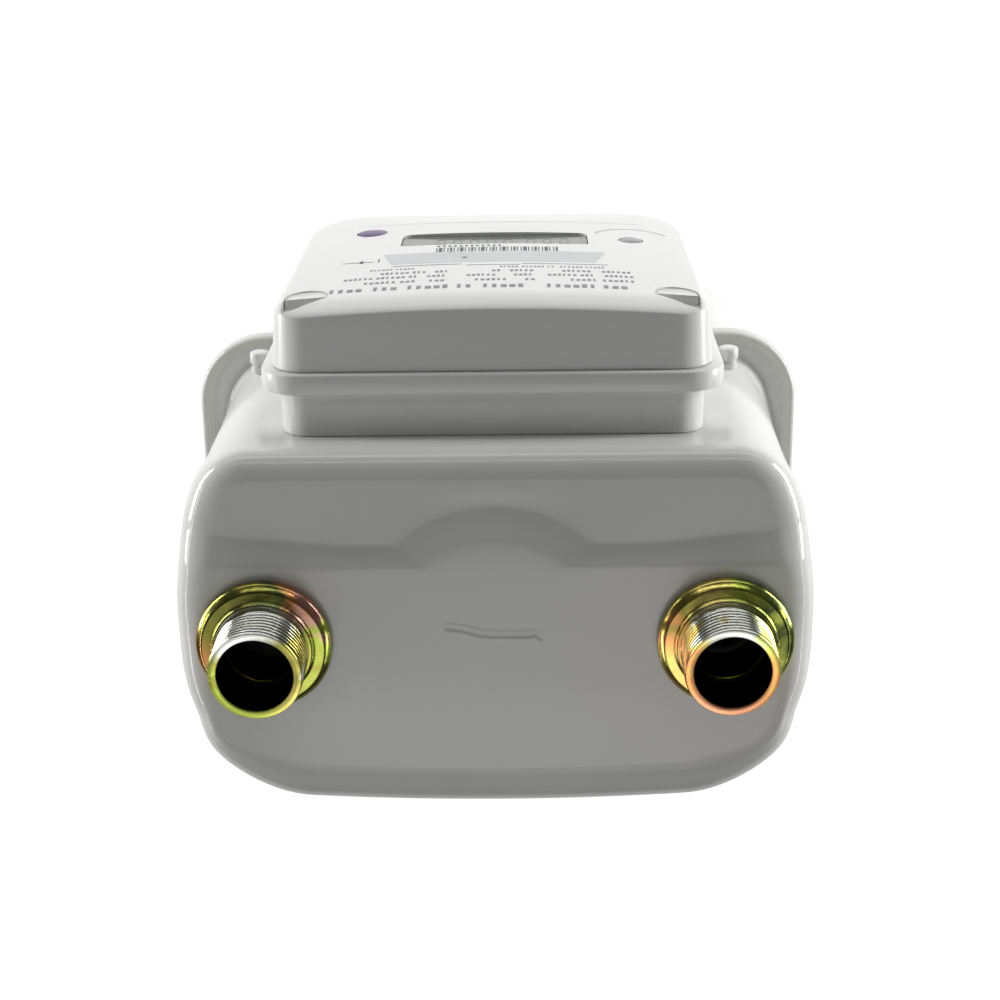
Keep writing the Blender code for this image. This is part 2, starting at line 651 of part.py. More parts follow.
def make_index_base():
    base = upright_frame("index_base", BASE_HALF_X, *BASE_Z, BASE_CORNER, SKIRT_Y[0], BASE_BACK_Y, WHITE)
    join(base, upright_frame("skirt", SKIRT_HALF_X, *SKIRT_Z, BASE_CORNER, *SKIRT_Y, WHITE))
    cut(base, upright_frame("front_pocket", 56, 63, 177, 6, -65, -55.8, WHITE))
    cut(base, upright_frame("back_pocket", 57, 62.3, 177.8, 6.8, -53.8, -43, WHITE))
    cut(base, block("seam_notch", (-70, -53.0, SEAM_Z - 4.4), (70, -43, SEAM_Z + 4.4), WHITE))
    for side in (-1, 1):
        x = side * SCREW_X
        join(base, rod("screw_post", 3.8, 14, WHITE, (x, -55, SCREW_Z), (90, 0, 0), steps=12))
        cut(base, rod("screw_hole", 2, 20, WHITE, (x, -57.5, SCREW_Z), (90, 0, 0), steps=12))
    block("index_bracket", (-40, -45.8, 118), (40, -44.3, 160), STEEL)

    outer = cover_outline(0.3)
    inner = cover_outline(COVER_WALL - 0.3)
    flat("index_gasket", [outer, inner], 1.0, BLACK, at=(0, COVER_BACK_Y + 0.8, 0), turn=(90, 0, 0))


def make_index_electronics():
    board_back = -71.7
    board_front = -73.3
    low = (-WINDOW_HALF_X + GAP, -81.1, WINDOW_Z[0] + GAP)
    high = (WINDOW_HALF_X - GAP, -79.5, WINDOW_Z[1] - GAP)
    block("lcd_window", low, high, CLEAR)
    block("lcd_module", (-31, -77.8, WINDOW_Z[0] - 1.5), (31, board_front - GAP, WINDOW_Z[1] + 1.5), LCD)
    block("circuit_board", (-48, board_front, 84), (48, board_back, 160), GREEN)
    block("radio_module", (10, board_back + GAP, 132), (35, -68, 152), STEEL)
    block("hall_sensor", (-4, board_back + GAP, 136), (4, -61, 144), DARK)
    battery_at = (-25, -64.4, 107)
    rod("battery_cell", 6.8, 50, SLEEVE, battery_at, (0, 90, 0))
    cradle = [(-8.5, 8.4), (-8.5, -2.5), (-7.2, -2.5), (-7.2, 7.1), (7.2, 7.1), (7.2, -2.5), (8.5, -2.5), (8.5, 8.4)]
    cradle = [(y, z) for z, y in cradle]
    flat("battery_holder", [cradle], 54, DARK, at=(0, battery_at[1], battery_at[2]), turn=(90, 0, 90))

    button = [(0, 81.9), (2.6, 81.7), (4.1, 81.1), (BUTTON_R, 80.4), (BUTTON_R, 77.6), (6.2, 77.6)]
    button += [(6.2, 76.2), (1.5, 76.2), (1.5, 75.0), (0, 75.0)]
    turned("push_button", button, PURPLE, at=(BUTTON_X, 0, BUTTON_Z), turn=(90, 0, 0))
    make_button_spring(-75.9, board_front - GAP)
    lens = [(0, 81.4), (2.4, 81.2), (LENS_R, 80.5), (LENS_R, 77.7), (4.8, 77.7), (4.8, 76.0), (0, 76.0)]
    turned("infrared_lens", lens, SMOKE, at=(LENS_X, 0, LENS_Z), turn=(90, 0, 0))


def make_button_spring(front_y, back_y):
    """A short coil spring between the button's collar and the board."""
    wire = 0.3
    turns = 3
    steps = 10
    curve = bpy.data.curves.new("button_spring", "CURVE")
    curve.dimensions = "3D"
    curve.bevel_depth = wire
    curve.bevel_resolution = 1
    curve.use_fill_caps = True
    spline = curve.splines.new("POLY")
    count = turns * steps + 1
    spline.points.add(count - 1)
    length = abs(back_y - front_y) - 2 * wire
    for index, point in enumerate(spline.points):
        angle = 2 * math.pi * index / steps
        point.co = (3 * math.cos(angle), 3 * math.sin(angle), wire + length * index / (count - 1), 1)
    from_curve("button_spring", curve, STEEL, (BUTTON_X, back_y, BUTTON_Z), (90, 0, 0))


def make_cover_fasteners():
    head = [(0, 75), (3.2, 75), (3.7, 74.4), (3.7, 72.8), (1.7, 72.8), (1.7, 59), (0, 59)]
    plug = [(0, 79.8), (4.2, 79.8), (4.6, 79.4), (4.6, 75.3), (0, 75.3)]
    post = [(0, 59.4), (2.2, 59.4), (2.9, 58.7), (2.9, 55.9), (1.5, 55.9), (1.5, 43.9), (0, 43.9)]
    for side, name in [(-1, "left"), (1, "right")]:
        x = side * SCREW_X
        screw = turned("cover_screw_" + name, head, STEEL, (x, 0, SCREW_Z), (90, 0, 0), steps=12)
        for width, height in [(2.4, 0.4), (0.4, 2.4)]:
            low = (x - width, -77, SCREW_Z - height)
            high = (x + width, -74, SCREW_Z + height)
            cut(screw, block("screw_slot", low, high, STEEL))
        turned("screw_plug_" + name, plug, WHITE, (x, 0, SCREW_Z), (90, 0, 0), steps=20)
        turned("seal_post_" + name, post, WHITE, (side * POST_X, 0, POST_Z), (90, 0, 0), steps=16)


make_case()
make_connections()
make_shut_off_valve()
make_outlet_pipe()
make_chambers()
make_valve_table()
make_flags()
make_crank()
make_index_base()
make_index_cover()
make_index_electronics()
make_cover_fasteners()
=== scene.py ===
"""Domestic gas meter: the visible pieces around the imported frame, their materials, the light and the camera.

Shapes are in millimetres, which add_object() scales to metres; lights and node textures are in metres.
+Z is up, -Y is the meter's front.
"""

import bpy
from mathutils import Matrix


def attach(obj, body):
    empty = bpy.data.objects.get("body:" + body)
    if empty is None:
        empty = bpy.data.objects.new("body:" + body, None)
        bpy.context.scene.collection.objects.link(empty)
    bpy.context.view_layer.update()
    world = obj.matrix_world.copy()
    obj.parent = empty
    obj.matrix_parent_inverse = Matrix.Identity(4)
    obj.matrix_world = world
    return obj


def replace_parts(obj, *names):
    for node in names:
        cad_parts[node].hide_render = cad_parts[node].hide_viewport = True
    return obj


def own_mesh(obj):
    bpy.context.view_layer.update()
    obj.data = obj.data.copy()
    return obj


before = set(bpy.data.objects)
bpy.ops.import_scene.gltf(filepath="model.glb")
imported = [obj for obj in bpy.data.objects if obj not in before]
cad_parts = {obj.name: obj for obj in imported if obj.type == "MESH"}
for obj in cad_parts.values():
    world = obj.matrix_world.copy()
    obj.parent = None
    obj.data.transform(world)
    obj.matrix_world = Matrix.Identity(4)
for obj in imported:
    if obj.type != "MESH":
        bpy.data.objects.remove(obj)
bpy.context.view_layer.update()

import math

import bmesh
import bpy
import numpy as np
from mathutils import Matrix, Vector

MM = 0.001
SAME_POINT = 1e-7

# The case. A plan is the first arc's centre and the tangent arcs (radius, end angle) that follow it.
SEAM_Z = 103.0
TOP_Z = 197.5
BODY_PLAN = ((67.6, -26.0), [(17.0, -18.0), (147.0, 10.5), (36.0, 86.5), (905.0, 90.0)])
RIM_PLAN = ((73.9, -29.4), [(22.0, -0.5), (4320.0, 0.5), (36.0, 89.5), (6900.0, 90.0)])
HALF_COUNT = 180
DRAFT = 0.9
SHEET = 1.2
FLANGE = 2.1
FOOT_R = 3.2
FLANGE_GAP = 1.4
WIDEST_GAP = 6.0
TOP_EDGE = 8.8
REAR_EDGE = 9.5
FRONT_EDGE = 1.4
LOWER_EDGE = 9.8

# The upper half's sides stand out from the plan or in from it: how far, at which y, and how gradually.
BULGES = [(1.2, -25.0, 14.0), (0.5, -1.0, 9.0), (-1.5, 40.0, 9.0)]
BULGE_FADE_Z = (172.0, 190.0)

# The raised band and disc on the top, with the soft dent in front of them: heights and places in plan.
RAISED = 2.5
RAISED_FADE_Z = (TOP_Z - 10.5, TOP_Z - 1.0)
BAND_CORNER = 0.045
DISC_CORNER = 0.12
DENT = 0.25
DENT_Y = -25.5
DENT_WIDE = 18.17
DENT_LONG = 5.83
BAND_FOOT_Y = -16.2
BAND_TOP_Y = -11.4
BAND_FLARE = 0.09
BAND_STRAIGHT_X = 43.0
BAND_REAR = (26.0, 66.0)
DISC_R = 39.0
DISC_TOP_R = 30.5
DISC_FADE = (5.0, 30.0)

# The connections
PORT_X = 65.0
PORT_Y = 11.5
PORT_TOP = 222.0
PORT_HOLE_R = 13.3
BORE_STEP_Z = 205.3
THREAD_LOW = 206.9
THREAD_HIGH = PORT_TOP - 0.8
THREAD_FADE = 0.8
THREAD_PITCH = 1.814
THREAD_ROOT_R = 12.34
THREAD_DEPTH = 0.86

# The index: outlines seen from the front are half width, bottom, top and the corner radii below and above.
BASE = (59.8, 60.2, 181.4, (9.0, 8.0))
SKIRT = (65.3, 55.0, 183.4, (13.0, 11.0))
COVER = (61.1, 57.8, 180.4, (29.5, 9.0))
WINDOW = (29.1, 97.0, 112.7, (3.2, 1.2))
COVER_BACK = -62.0
COVER_MIDDLE_Z = 118.0
COVER_WALL = 2.0
NEAR_END_Z = (172.0, 178.0)
FACE_Y = -82.3
CROWN = 2.5
CROWN_HALF_X = 58.6
BEVEL_Z = 173.6
BEVEL_SLOPE = 0.33
CREASE_Z = 81.3
FAR_DROP = 2.6
CUT_SPAN = (-90, -76)
BUTTON = (39.4, 91.5)
BUTTON_HOLE_R = 4.9
SPRING_SPAN = (-75.9, -73.6)
LENS = (-42.5, 104.6)
LENS_HOLE_R = 3.95
PLUG = (52.2, 167.6)
POCKET_R = 6.2
PLUG_R = 6.05
POST = (69.0, 150.0)
POST_TAB = (-54.6, -53.2)


# Shapes

def add_object(name, points, faces, merge=False, facing=None):
    """A mesh object from millimetre points, with its faces turned outward.

    facing is the direction that the last face of an open mesh looks in.
    """
    mesh = bpy.data.meshes.new(name)
    mesh.from_pydata([tuple(c * MM for c in point) for point in points], [], faces)
    shape = bmesh.new()
    shape.from_mesh(mesh)
    if merge:
        bmesh.ops.remove_doubles(shape, verts=shape.verts, dist=SAME_POINT)
    bmesh.ops.recalc_face_normals(shape, faces=shape.faces)
    shape.faces.ensure_lookup_table()
    if facing and shape.faces[-1].normal.dot(Vector(facing)) < 0:
        bmesh.ops.reverse_faces(shape, faces=shape.faces)
    shape.to_mesh(mesh)
    shape.free()
    obj = bpy.data.objects.new(name, mesh)
    bpy.context.scene.collection.objects.link(obj)
    return obj


def build(name, points, faces, look, body="meter", smooth=True, angle=None, facing=None):
    """A visible piece; it rides on a body and takes a slot's finish."""
    obj = add_object(name, points, faces, True, facing)
    obj.data.materials.append(look)
    if smooth:
        obj.data.shade_smooth()
        if angle:
            obj.data.set_sharp_from_angle(angle=math.radians(angle))
    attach(obj, body)
    return obj


def grid_faces(rows, columns, wrap_rows=False):
    """Quads between rows of a closed loop of columns."""
    faces = []
    for row in range(rows if wrap_rows else rows - 1):
        below = row * columns
        above = ((row + 1) % rows) * columns
        for column in range(columns):
            beside = (column + 1) % columns
            faces.append((below + column, below + beside, above + beside, above + column))
    return faces


def add_rings(points, faces, rings, wrap=False, caps=(True, True)):
    """Adds rings to a mesh, with the skin between them and a cap on each end that caps asks for."""
    start = len(points)
    count = len(rings[0])
    for ring in rings:
        points.extend(ring)
    faces.extend(tuple(start + k for k in face) for face in grid_faces(len(rings), count, wrap))
    if caps[0]:
        faces.append(tuple(reversed(range(start, start + count))))
    if caps[1]:
        faces.append(tuple(range(len(points) - count, len(points))))


def loft(name, rings, look, body="meter", wrap=False, caps=(False, False), angle=None, facing=None):
    """A skin over rings that all have the same number of points."""
    points = []
    faces = []
    add_rings(points, faces, rings, wrap, caps)
    return build(name, points, faces, look, body, angle=angle, facing=facing)


def apply_modifiers(obj):
    """Turns an object's modifiers into its mesh."""
    graph = bpy.context.evaluated_depsgraph_get()
    made = bpy.data.meshes.new_from_object(obj.evaluated_get(graph))
    obj.modifiers.clear()
    obj.data = made


def cutter(rings):
    """A closed body for subtract(), from rings of millimetre points."""
    points = []
    faces = []
    add_rings(points, faces, rings)
    return add_object("cutter", points, faces)


def subtract(obj, bodies):
    """Cuts each body from an object and deletes it."""
    for body in bodies:
        change = obj.modifiers.new("cut", "BOOLEAN")
        change.operation = "DIFFERENCE"
        change.solver = "EXACT"
        change.object = body
    bpy.context.view_layer.update()
    apply_modifiers(obj)
    for body in bodies:
        bpy.data.objects.remove(body)


def circle(radius, count, centre=(0.0, 0.0)):
    """Even points round a circle."""
    turns = np.linspace(0, 2 * math.pi, count + 1)[:-1]
    return [(centre[0] + radius * math.cos(a), centre[1] + radius * math.sin(a)) for a in turns]


def swept(outline, span):
    """An outline of (x, z) points at each y of a span."""
    return [[(x, y, z) for x, z in outline] for y in span]


def smooth_step(low, high, value):
    share = np.clip((value - low) / (high - low), 0.0, 1.0)
    return share * share * (3 - 2 * share)


def bell(value, centre, width):
    """1 at the centre, falling away on both sides."""
    return np.exp(-(((value - centre) / width) ** 2))


def bend(steps=6):
    """(sine, cosine) pairs of a quarter turn, for rounding an edge."""
    return [(math.sin(a), math.cos(a)) for a in np.radians(np.linspace(0, 90, steps + 1))]


def plan_loop(plan):
    """Even points round a plan of tangent arcs, and their outward normals.

    A plan is the first arc's centre and a list of (radius, end angle) on the +X side. The points start at the
    front middle and go anticlockwise, and the -X side mirrors the +X side.
    """
    centre = np.array(plan[0])
    start = -90.0
    points = [np.array((0.0, plan[0][1] - plan[1][0][0]))]
    normals = [np.array((0.0, -1.0))]
    for index, (radius, end) in enumerate(plan[1]):
        steps = max(4, int(radius * math.radians(end - start) / 0.25))
        for step in range(steps + 1):
            turn = math.radians(start + (end - start) * step / steps)
            way = np.array((math.cos(turn), math.sin(turn)))
            points.append(centre + radius * way)
            normals.append(way)
        if index + 1 < len(plan[1]):
            turn = math.radians(end)
            step_in = radius - plan[1][index + 1][0]
            centre = centre + step_in * np.array((math.cos(turn), math.sin(turn)))
            start = end
    ahead = [index for index, point in enumerate(points) if index == 0 or point[0] > 0.3]
    points = np.array([points[index] for index in ahead] + [np.array((0.0, points[-1][1]))])
    normals = np.array([normals[index] for index in ahead] + [np.array((0.0, 1.0))])
    lengths = np.concatenate([[0], np.cumsum(np.linalg.norm(np.diff(points, axis=0), axis=1))])
    wanted = np.linspace(0, lengths[-1], HALF_COUNT + 1)
    half = np.stack([np.interp(wanted, lengths, points[:, axis]) for axis in (0, 1)], 1)
    way = np.stack([np.interp(wanted, lengths, normals[:, axis]) for axis in (0, 1)], 1)
    way /= np.linalg.norm(way, axis=1)[:, None]
    mirror = np.array((-1.0, 1.0))
    return np.concatenate([half, half[-2:0:-1] * mirror]), np.concatenate([way, way[-2:0:-1] * mirror])


def ring_at(outline, z):
    """A ring of (x, y, z) from plan points and one height, or a height for each point."""
    heights = np.broadcast_to(z, len(outline))
    return [(x, y, h) for (x, y), h in zip(outline, heights)]


# Materials

def linear(colour):
    """sRGB 0-255 to linear 0-1."""
    return tuple(((c / 255 + 0.055) / 1.055) ** 2.4 if c > 10 else c / 255 / 12.92 for c in colour)


def make_node(tree, kind, **values):
    node = tree.nodes.new(kind)
    for key, value in values.items():
        if key in node.inputs:
            node.inputs[key].default_value = value
        else:
            setattr(node, key, value)
    return node


def join(tree, value, socket):
    """Puts a value on a socket: a link from another socket, or a constant."""
    if isinstance(value, bpy.types.NodeSocket):
        tree.links.new(value, socket)
    else:
        socket.default_value = value


def compute(tree, operation, *values):
    node = make_node(tree, "ShaderNodeMath", operation=operation)
    for value, socket in zip(values, node.inputs):
        join(tree, value, socket)
    return node.outputs["Value"]


def length_of(tree, vector):
    node = make_node(tree, "ShaderNodeVectorMath", operation="LENGTH")
    tree.links.new(vector, node.inputs[0])
    return node.outputs["Value"]


def part_of(tree, vector, axis):
    node = tree.nodes.new("ShaderNodeSeparateXYZ")
    tree.links.new(vector, node.inputs["Vector"])
    return node.outputs[axis]


def map_range(tree, value, low, high, to_low=0.0, to_high=1.0):
    """A value between low and high turned into one between to_low and to_high, and held there outside."""
    node = tree.nodes.new("ShaderNodeMapRange")
    for key, number in (("From Min", low), ("From Max", high), ("To Min", to_low), ("To Max", to_high)):
        node.inputs[key].default_value = number
    tree.links.new(value, node.inputs["Value"])
    return node.outputs["Result"]


def mix_colours(tree, share, first, second, blend="MIX"):
    node = make_node(tree, "ShaderNodeMix", data_type="RGBA", blend_type=blend)
    for index, value in ((0, share), (6, first), (7, second)):
        join(tree, value, node.inputs[index])
    return node.outputs[2]


def noise(tree, scale, detail=3.0, rough=0.55, distortion=0.0):
    node = make_node(tree, "ShaderNodeTexNoise", Scale=scale, Detail=detail, Roughness=rough,
                     Distortion=distortion)
    tree.links.new(tree.nodes["place"].outputs["Object"], node.inputs["Vector"])
    return node.outputs["Fac"]


def ramp(tree, source, stops):
    """A colour ramp; a stop's colour is RGB, or one number for a grey."""
    node = tree.nodes.new("ShaderNodeValToRGB")
    band = node.color_ramp
    while len(band.elements) < len(stops):
        band.elements.new(0.5)
    for element, (position, colour) in zip(band.elements, stops):
        element.position = position
        element.color = (colour,) * 3 + (1.0,) if isinstance(colour, float) else (*colour, 1.0)
    tree.links.new(source, node.inputs["Fac"])
    return node.outputs["Color"]


def new_material(name):
    """A material with its node tree, its shader and a coordinate node called place."""
    made = bpy.data.materials.new(name)
    made.use_nodes = True
    tree = made.node_tree
    place = tree.nodes.new("ShaderNodeTexCoord")
    place.name = "place"
    return made, tree, tree.nodes["Principled BSDF"]


def add_relief(tree, shader, height, strength, depth):
    bump = make_node(tree, "ShaderNodeBump", Strength=strength, Distance=depth)
    tree.links.new(height, bump.inputs["Height"])
    tree.links.new(bump.outputs["Normal"], shader.inputs["Normal"])


def surface(name, colour, roughness=0.4, vary=0.06, patch=30.0, peel=0.0, peel_scale=350.0, fleck=0.03,
            fleck_scale=1500.0, gloss_vary=0.05, depth=0.0003, **sockets):
    """A procedural material: patches and flecks of colour, uneven gloss, and a fine relief."""
    made, tree, shader = new_material(name)
    base = np.array(linear(colour))
    dark, light = tuple(base * (1 - vary)), tuple(np.minimum(base * (1 + vary), 1.0))
    patches = ramp(tree, noise(tree, patch), [(0.3, dark), (0.7, light)])
    flecks = ramp(tree, noise(tree, fleck_scale, 2.0), [(0.35, 1.0 - fleck), (0.65, 1.0)])
    join(tree, mix_colours(tree, 1.0, patches, flecks, "MULTIPLY"), shader.inputs["Base Color"])
    smoother = max(roughness - gloss_vary, 0.02)
    gloss = ramp(tree, noise(tree, patch * 2.3), [(0.3, smoother), (0.7, roughness + gloss_vary)])
    join(tree, gloss, shader.inputs["Roughness"])
    if peel:
        add_relief(tree, shader, noise(tree, peel_scale, 2.0), peel, depth)
    for key, value in sockets.items():
        shader.inputs[key.replace("_", " ")].default_value = value
    return made


# Heights where the collar's colours give way to the thread's, the bore's edge as radii, inside which the
# plating gives way to a painted shade, and the shoulder between collar and thread, which keeps the collar's
# colours, as a height and a tolerance.
THREAD_COLOURS_Z = (205.8, 207.2)
BORE_EDGE_R = (10.54, 10.66)
SHOULDER_Z = (205.7, 0.7)


def zinc(name, centre_x, collar_stops, thread_stops):
    """Iridescent yellow zinc plating: colour bands round the collar, others on the thread, and a painted shade
    in the bore.
    """
    made, tree, shader = new_material(name)
    local = tree.nodes.new("ShaderNodeMapping")
    local.inputs["Location"].default_value = (-centre_x * MM, -PORT_Y * MM, 0)
    tree.links.new(tree.nodes["place"].outputs["Object"], local.inputs["Vector"])
    around_port = local.outputs["Vector"]
    spun = make_node(tree, "ShaderNodeVectorRotate", rotation_type="Z_AXIS", Angle=math.pi)
    tree.links.new(around_port, spun.inputs["Vector"])
    swirl = make_node(tree, "ShaderNodeTexGradient", gradient_type="RADIAL")
    tree.links.new(spun.outputs["Vector"], swirl.inputs["Vector"])
    drift = compute(tree, "MULTIPLY_ADD", noise(tree, 90.0, 2.0, 0.5, 0.5), 0.5, swirl.outputs["Fac"])
    turn = compute(tree, "FRACT", compute(tree, "SUBTRACT", drift, 0.25))
    height = part_of(tree, around_port, "Z")
    on_thread = map_range(tree, height, *[z * MM for z in THREAD_COLOURS_Z])
    plated = mix_colours(tree, on_thread, ramp(tree, turn, collar_stops), ramp(tree, turn, thread_stops))
    flat = make_node(tree, "ShaderNodeVectorMath", operation="MULTIPLY")
    flat.inputs[1].default_value = (1, 1, 0)
    tree.links.new(around_port, flat.inputs[0])
    radius = length_of(tree, flat.outputs["Vector"])
    outside = map_range(tree, radius, *[r * MM for r in BORE_EDGE_R])
    on_shoulder = compute(tree, "COMPARE", height, *[z * MM for z in SHOULDER_Z])
    clear_of_painted_shade = compute(tree, "MAXIMUM", outside, on_shoulder)
    # Inside the bore's edge, except on the shoulder, the plating gives way to a painted shade for the dark in
    # the bore.
    join(tree, mix_colours(tree, clear_of_painted_shade, (*BORE_PAINTED_SHADE, 1), plated), shader.inputs["Base Color"])
    shader.inputs["Metallic"].default_value = 1.0
    join(tree, ramp(tree, noise(tree, 300.0), [(0.3, 0.14), (0.7, 0.24)]), shader.inputs["Roughness"])
    add_relief(tree, shader, noise(tree, 1300.0), 0.08, 0.0001)
    return made


PAINT = surface("meter_paint", (219, 219, 217), 0.13, vary=0.02, patch=18, peel=0.05, peel_scale=300,
                gloss_vary=0.03, fleck=0.03, fleck_scale=2600)
# A painted shade: the case's own paint made darker and a little olive for the rim.
RIM_PAINT_SHADED = surface("rim_paint_shaded", (203, 203, 198), 0.16, vary=0.02, patch=18, peel=0.05, peel_scale=300,
                    gloss_vary=0.03, fleck=0.03, fleck_scale=2600)
SHELL_WHITE = surface("index_plastic", (222, 222, 221), 0.28, vary=0.004, patch=25, peel=0.02, peel_scale=700,
                      gloss_vary=0.006, fleck=0.004, fleck_scale=500, depth=0.0001)
INK = surface("print_ink", (128, 130, 133), 0.5, vary=0.12, patch=200)
DARK_INK = surface("dark_ink", (70, 72, 76), 0.5, vary=0.15, patch=200)
PANEL = surface("label_panel", (196, 198, 199), 0.42, vary=0.03, patch=60, peel=0.08, peel_scale=1500)
SEGMENT = surface("lcd_segment", (115, 118, 114), 0.3, vary=0.08, patch=300)

# The material slots of the frame's record and what each looks like: colour, roughness, other values.
SLOTS = {
    "bright_steel": ((178, 180, 182), 0.3, dict(vary=0.12, patch=60, peel=0.3, peel_scale=900, depth=0.0001,
                                                Metallic=1.0)),
    "black_rubber": ((34, 34, 35), 0.7, dict(vary=0.2, peel=0.3, peel_scale=1300)),
    "unit_plastic": ((190, 194, 196), 0.5, dict(vary=0.05, peel=0.2, peel_scale=1100)),
    "bearing_plastic": ((218, 208, 184), 0.42, dict(vary=0.05, peel=0.15, peel_scale=1300)),
    "diaphragm_fabric": ((70, 62, 56), 0.8, dict(vary=0.2, peel=0.7, peel_scale=2400)),
    "board_green": ((34, 92, 58), 0.4, dict(vary=0.15, peel=0.3, peel_scale=1500)),
    "dark_plastic": ((46, 47, 50), 0.45, dict(vary=0.15, peel=0.3, peel_scale=1600)),
    "lcd_glass": ((160, 164, 158), 0.2, dict(vary=0.04, patch=60)),
    "window_plastic": ((117, 120, 116), 0.12, dict(vary=0.05, patch=60, gloss_vary=0.02)),
    "button_plastic": ((104, 85, 126), 0.36, dict(vary=0.08, patch=150, peel=0.1, peel_scale=1800)),
    "lens_plastic": ((138, 139, 142), 0.15, dict(vary=0.08, patch=200)),
    "battery_sleeve": ((70, 120, 170), 0.4, dict(vary=0.1, peel=0.15, peel_scale=1000)),
    "magnet": ((84, 84, 86), 0.45, dict(vary=0.15, peel=0.4, peel_scale=1200, Metallic=0.6)),
    "yellow_zinc": ((190, 176, 110), 0.3, dict(vary=0.2, Metallic=1.0)),
}
LOOKS = {"case_paint": PAINT, "white_plastic": SHELL_WHITE}
for slot_name, (slot_colour, slot_roughness, slot_values) in SLOTS.items():
    LOOKS[slot_name] = surface(slot_name, slot_colour, slot_roughness, **slot_values)

# A painted shade: the dark colour inside each connection's bore.
BORE_PAINTED_SHADE = linear((44, 44, 24))
OLIVE = linear((150, 148, 72))
GREEN_GOLD = linear((176, 190, 84))
DEEP_GREEN = linear((98, 112, 66))
LIME = linear((206, 218, 104))
GOLD = linear((214, 196, 112))
ORANGE = linear((222, 158, 98))
ROSE = linear((226, 168, 158))
# A painted highlight: the silver on the front of each thread, where the front light's streak falls.
SILVER_PAINTED_HIGHLIGHT = linear((228, 230, 222))
COPPER = linear((222, 156, 118))
# Round the circle the stops run from the side that faces +X through the back, -X and the front.
OUTLET_COLLAR = [(0.0, ORANGE), (0.14, GOLD), (0.26, GREEN_GOLD), (0.40, OLIVE), (0.52, GREEN_GOLD)]
OUTLET_COLLAR += [(0.60, ROSE), (0.68, ORANGE), (0.76, DEEP_GREEN), (0.88, OLIVE), (1.0, ORANGE)]
# The silver stops on each thread's front are a painted highlight.
OUTLET_THREAD = [(0.0, OLIVE), (0.12, GREEN_GOLD), (0.3, GREEN_GOLD), (0.45, GOLD), (0.56, OLIVE)]
OUTLET_THREAD += [(0.66, SILVER_PAINTED_HIGHLIGHT), (0.84, SILVER_PAINTED_HIGHLIGHT), (0.92, OLIVE), (1.0, GREEN_GOLD)]
INLET_COLLAR = [(0.0, ORANGE), (0.1, GOLD), (0.22, LIME), (0.36, GREEN_GOLD), (0.5, LIME)]
INLET_COLLAR += [(0.58, DEEP_GREEN), (0.68, GREEN_GOLD), (0.78, GOLD), (0.9, OLIVE), (1.0, ORANGE)]
INLET_THREAD = [(0.0, ORANGE), (0.12, COPPER), (0.3, COPPER), (0.46, ORANGE), (0.58, LIME)]
INLET_THREAD += [(0.68, SILVER_PAINTED_HIGHLIGHT), (0.84, SILVER_PAINTED_HIGHLIGHT), (0.92, GOLD), (1.0, ORANGE)]
OUTLET_ZINC = zinc("outlet_zinc", PORT_X, OUTLET_COLLAR, OUTLET_THREAD)
INLET_ZINC = zinc("inlet_zinc", -PORT_X, INLET_COLLAR, INLET_THREAD)


# The case

# The worked line near the middle of the top, in plan, and its shape in millimetres.
MARK = [(13.3, 7.7), (8.0, 8.6), (4.2, 9.9), (0.7, 10.2), (-10.0, 10.3), (-11.6, 9.6), (-13.1, 11.2)]
MARK_DEPTH = 0.13
MARK_WIDTH = 0.55
RIDGE_HEIGHT = 0.05
RIDGE_AWAY = 1.1
RIDGE_WIDTH = 0.6
FAR_FROM_MARK = 9.0


def eased(value, corner):
    """0 below 0 and 1 above 1, straight between, with rounded corners."""
    low = np.sqrt(value * value + corner * corner)
    high = np.sqrt((value - 1) ** 2 + corner * corner)
    return (1 + low - high) / 2


def mark_relief(x, y):
    """The worked line: a shallow groove with a low ridge on each side."""
    nearest = np.full(np.shape(x), FAR_FROM_MARK)
    for (x0, y0), (x1, y1) in zip(MARK, MARK[1:]):
        length = math.hypot(x1 - x0, y1 - y0)
        share = np.clip(((x - x0) * (x1 - x0) + (y - y0) * (y1 - y0)) / length ** 2, 0, 1)
        nearest = np.minimum(nearest, np.hypot(x - x0 - share * (x1 - x0), y - y0 - share * (y1 - y0)))
    return RIDGE_HEIGHT * bell(nearest, RIDGE_AWAY, RIDGE_WIDTH) - MARK_DEPTH * bell(nearest, 0, MARK_WIDTH)


def relief(x, y):
    """How far the pressed band and the disc stand above the top, at plan points."""
    foot = BAND_FOOT_Y - BAND_FLARE * np.maximum(0, np.abs(x) - BAND_STRAIGHT_X)
    band = eased((y - foot) / (BAND_TOP_Y - foot), BAND_CORNER) * (1 - smooth_step(*BAND_REAR, y))
    radius = np.hypot(x, y - PORT_Y)
    disc = eased((DISC_R - radius) / (DISC_R - DISC_TOP_R), DISC_CORNER) * (1 - smooth_step(*DISC_FADE, y))
    higher = np.maximum(band, disc)
    both = higher + 0.12 * np.minimum(band, disc) * (1 - higher)
    dent = DENT * bell(x, 0, DENT_WIDE) * bell(y, DENT_Y, DENT_LONG)
    return RAISED * both - dent + mark_relief(x, y)


def gap_to_rim(points, normals, rim):
    """The distance from each body point, along its normal, to the rim outline."""
    ahead = np.roll(rim, -1, axis=0)
    distances = []
    for point, way in zip(points, normals):
        side = np.array((-way[1], way[0]))
        near = (rim - point) @ side
        far = (ahead - point) @ side
        crossing = (near * far <= 0) & (near != far)
        share = near[crossing] / (near[crossing] - far[crossing])
        hits = rim[crossing] + share[:, None] * (ahead[crossing] - rim[crossing])
        along = (hits - point) @ way
        distances.append(min([a for a in along if a > 0], default=WIDEST_GAP))
    return np.array(distances)


BODY, BODY_WAY = plan_loop(BODY_PLAN)
RIM, RIM_WAY = plan_loop(RIM_PLAN)
RIM_GAP = gap_to_rim(BODY, BODY_WAY, RIM)


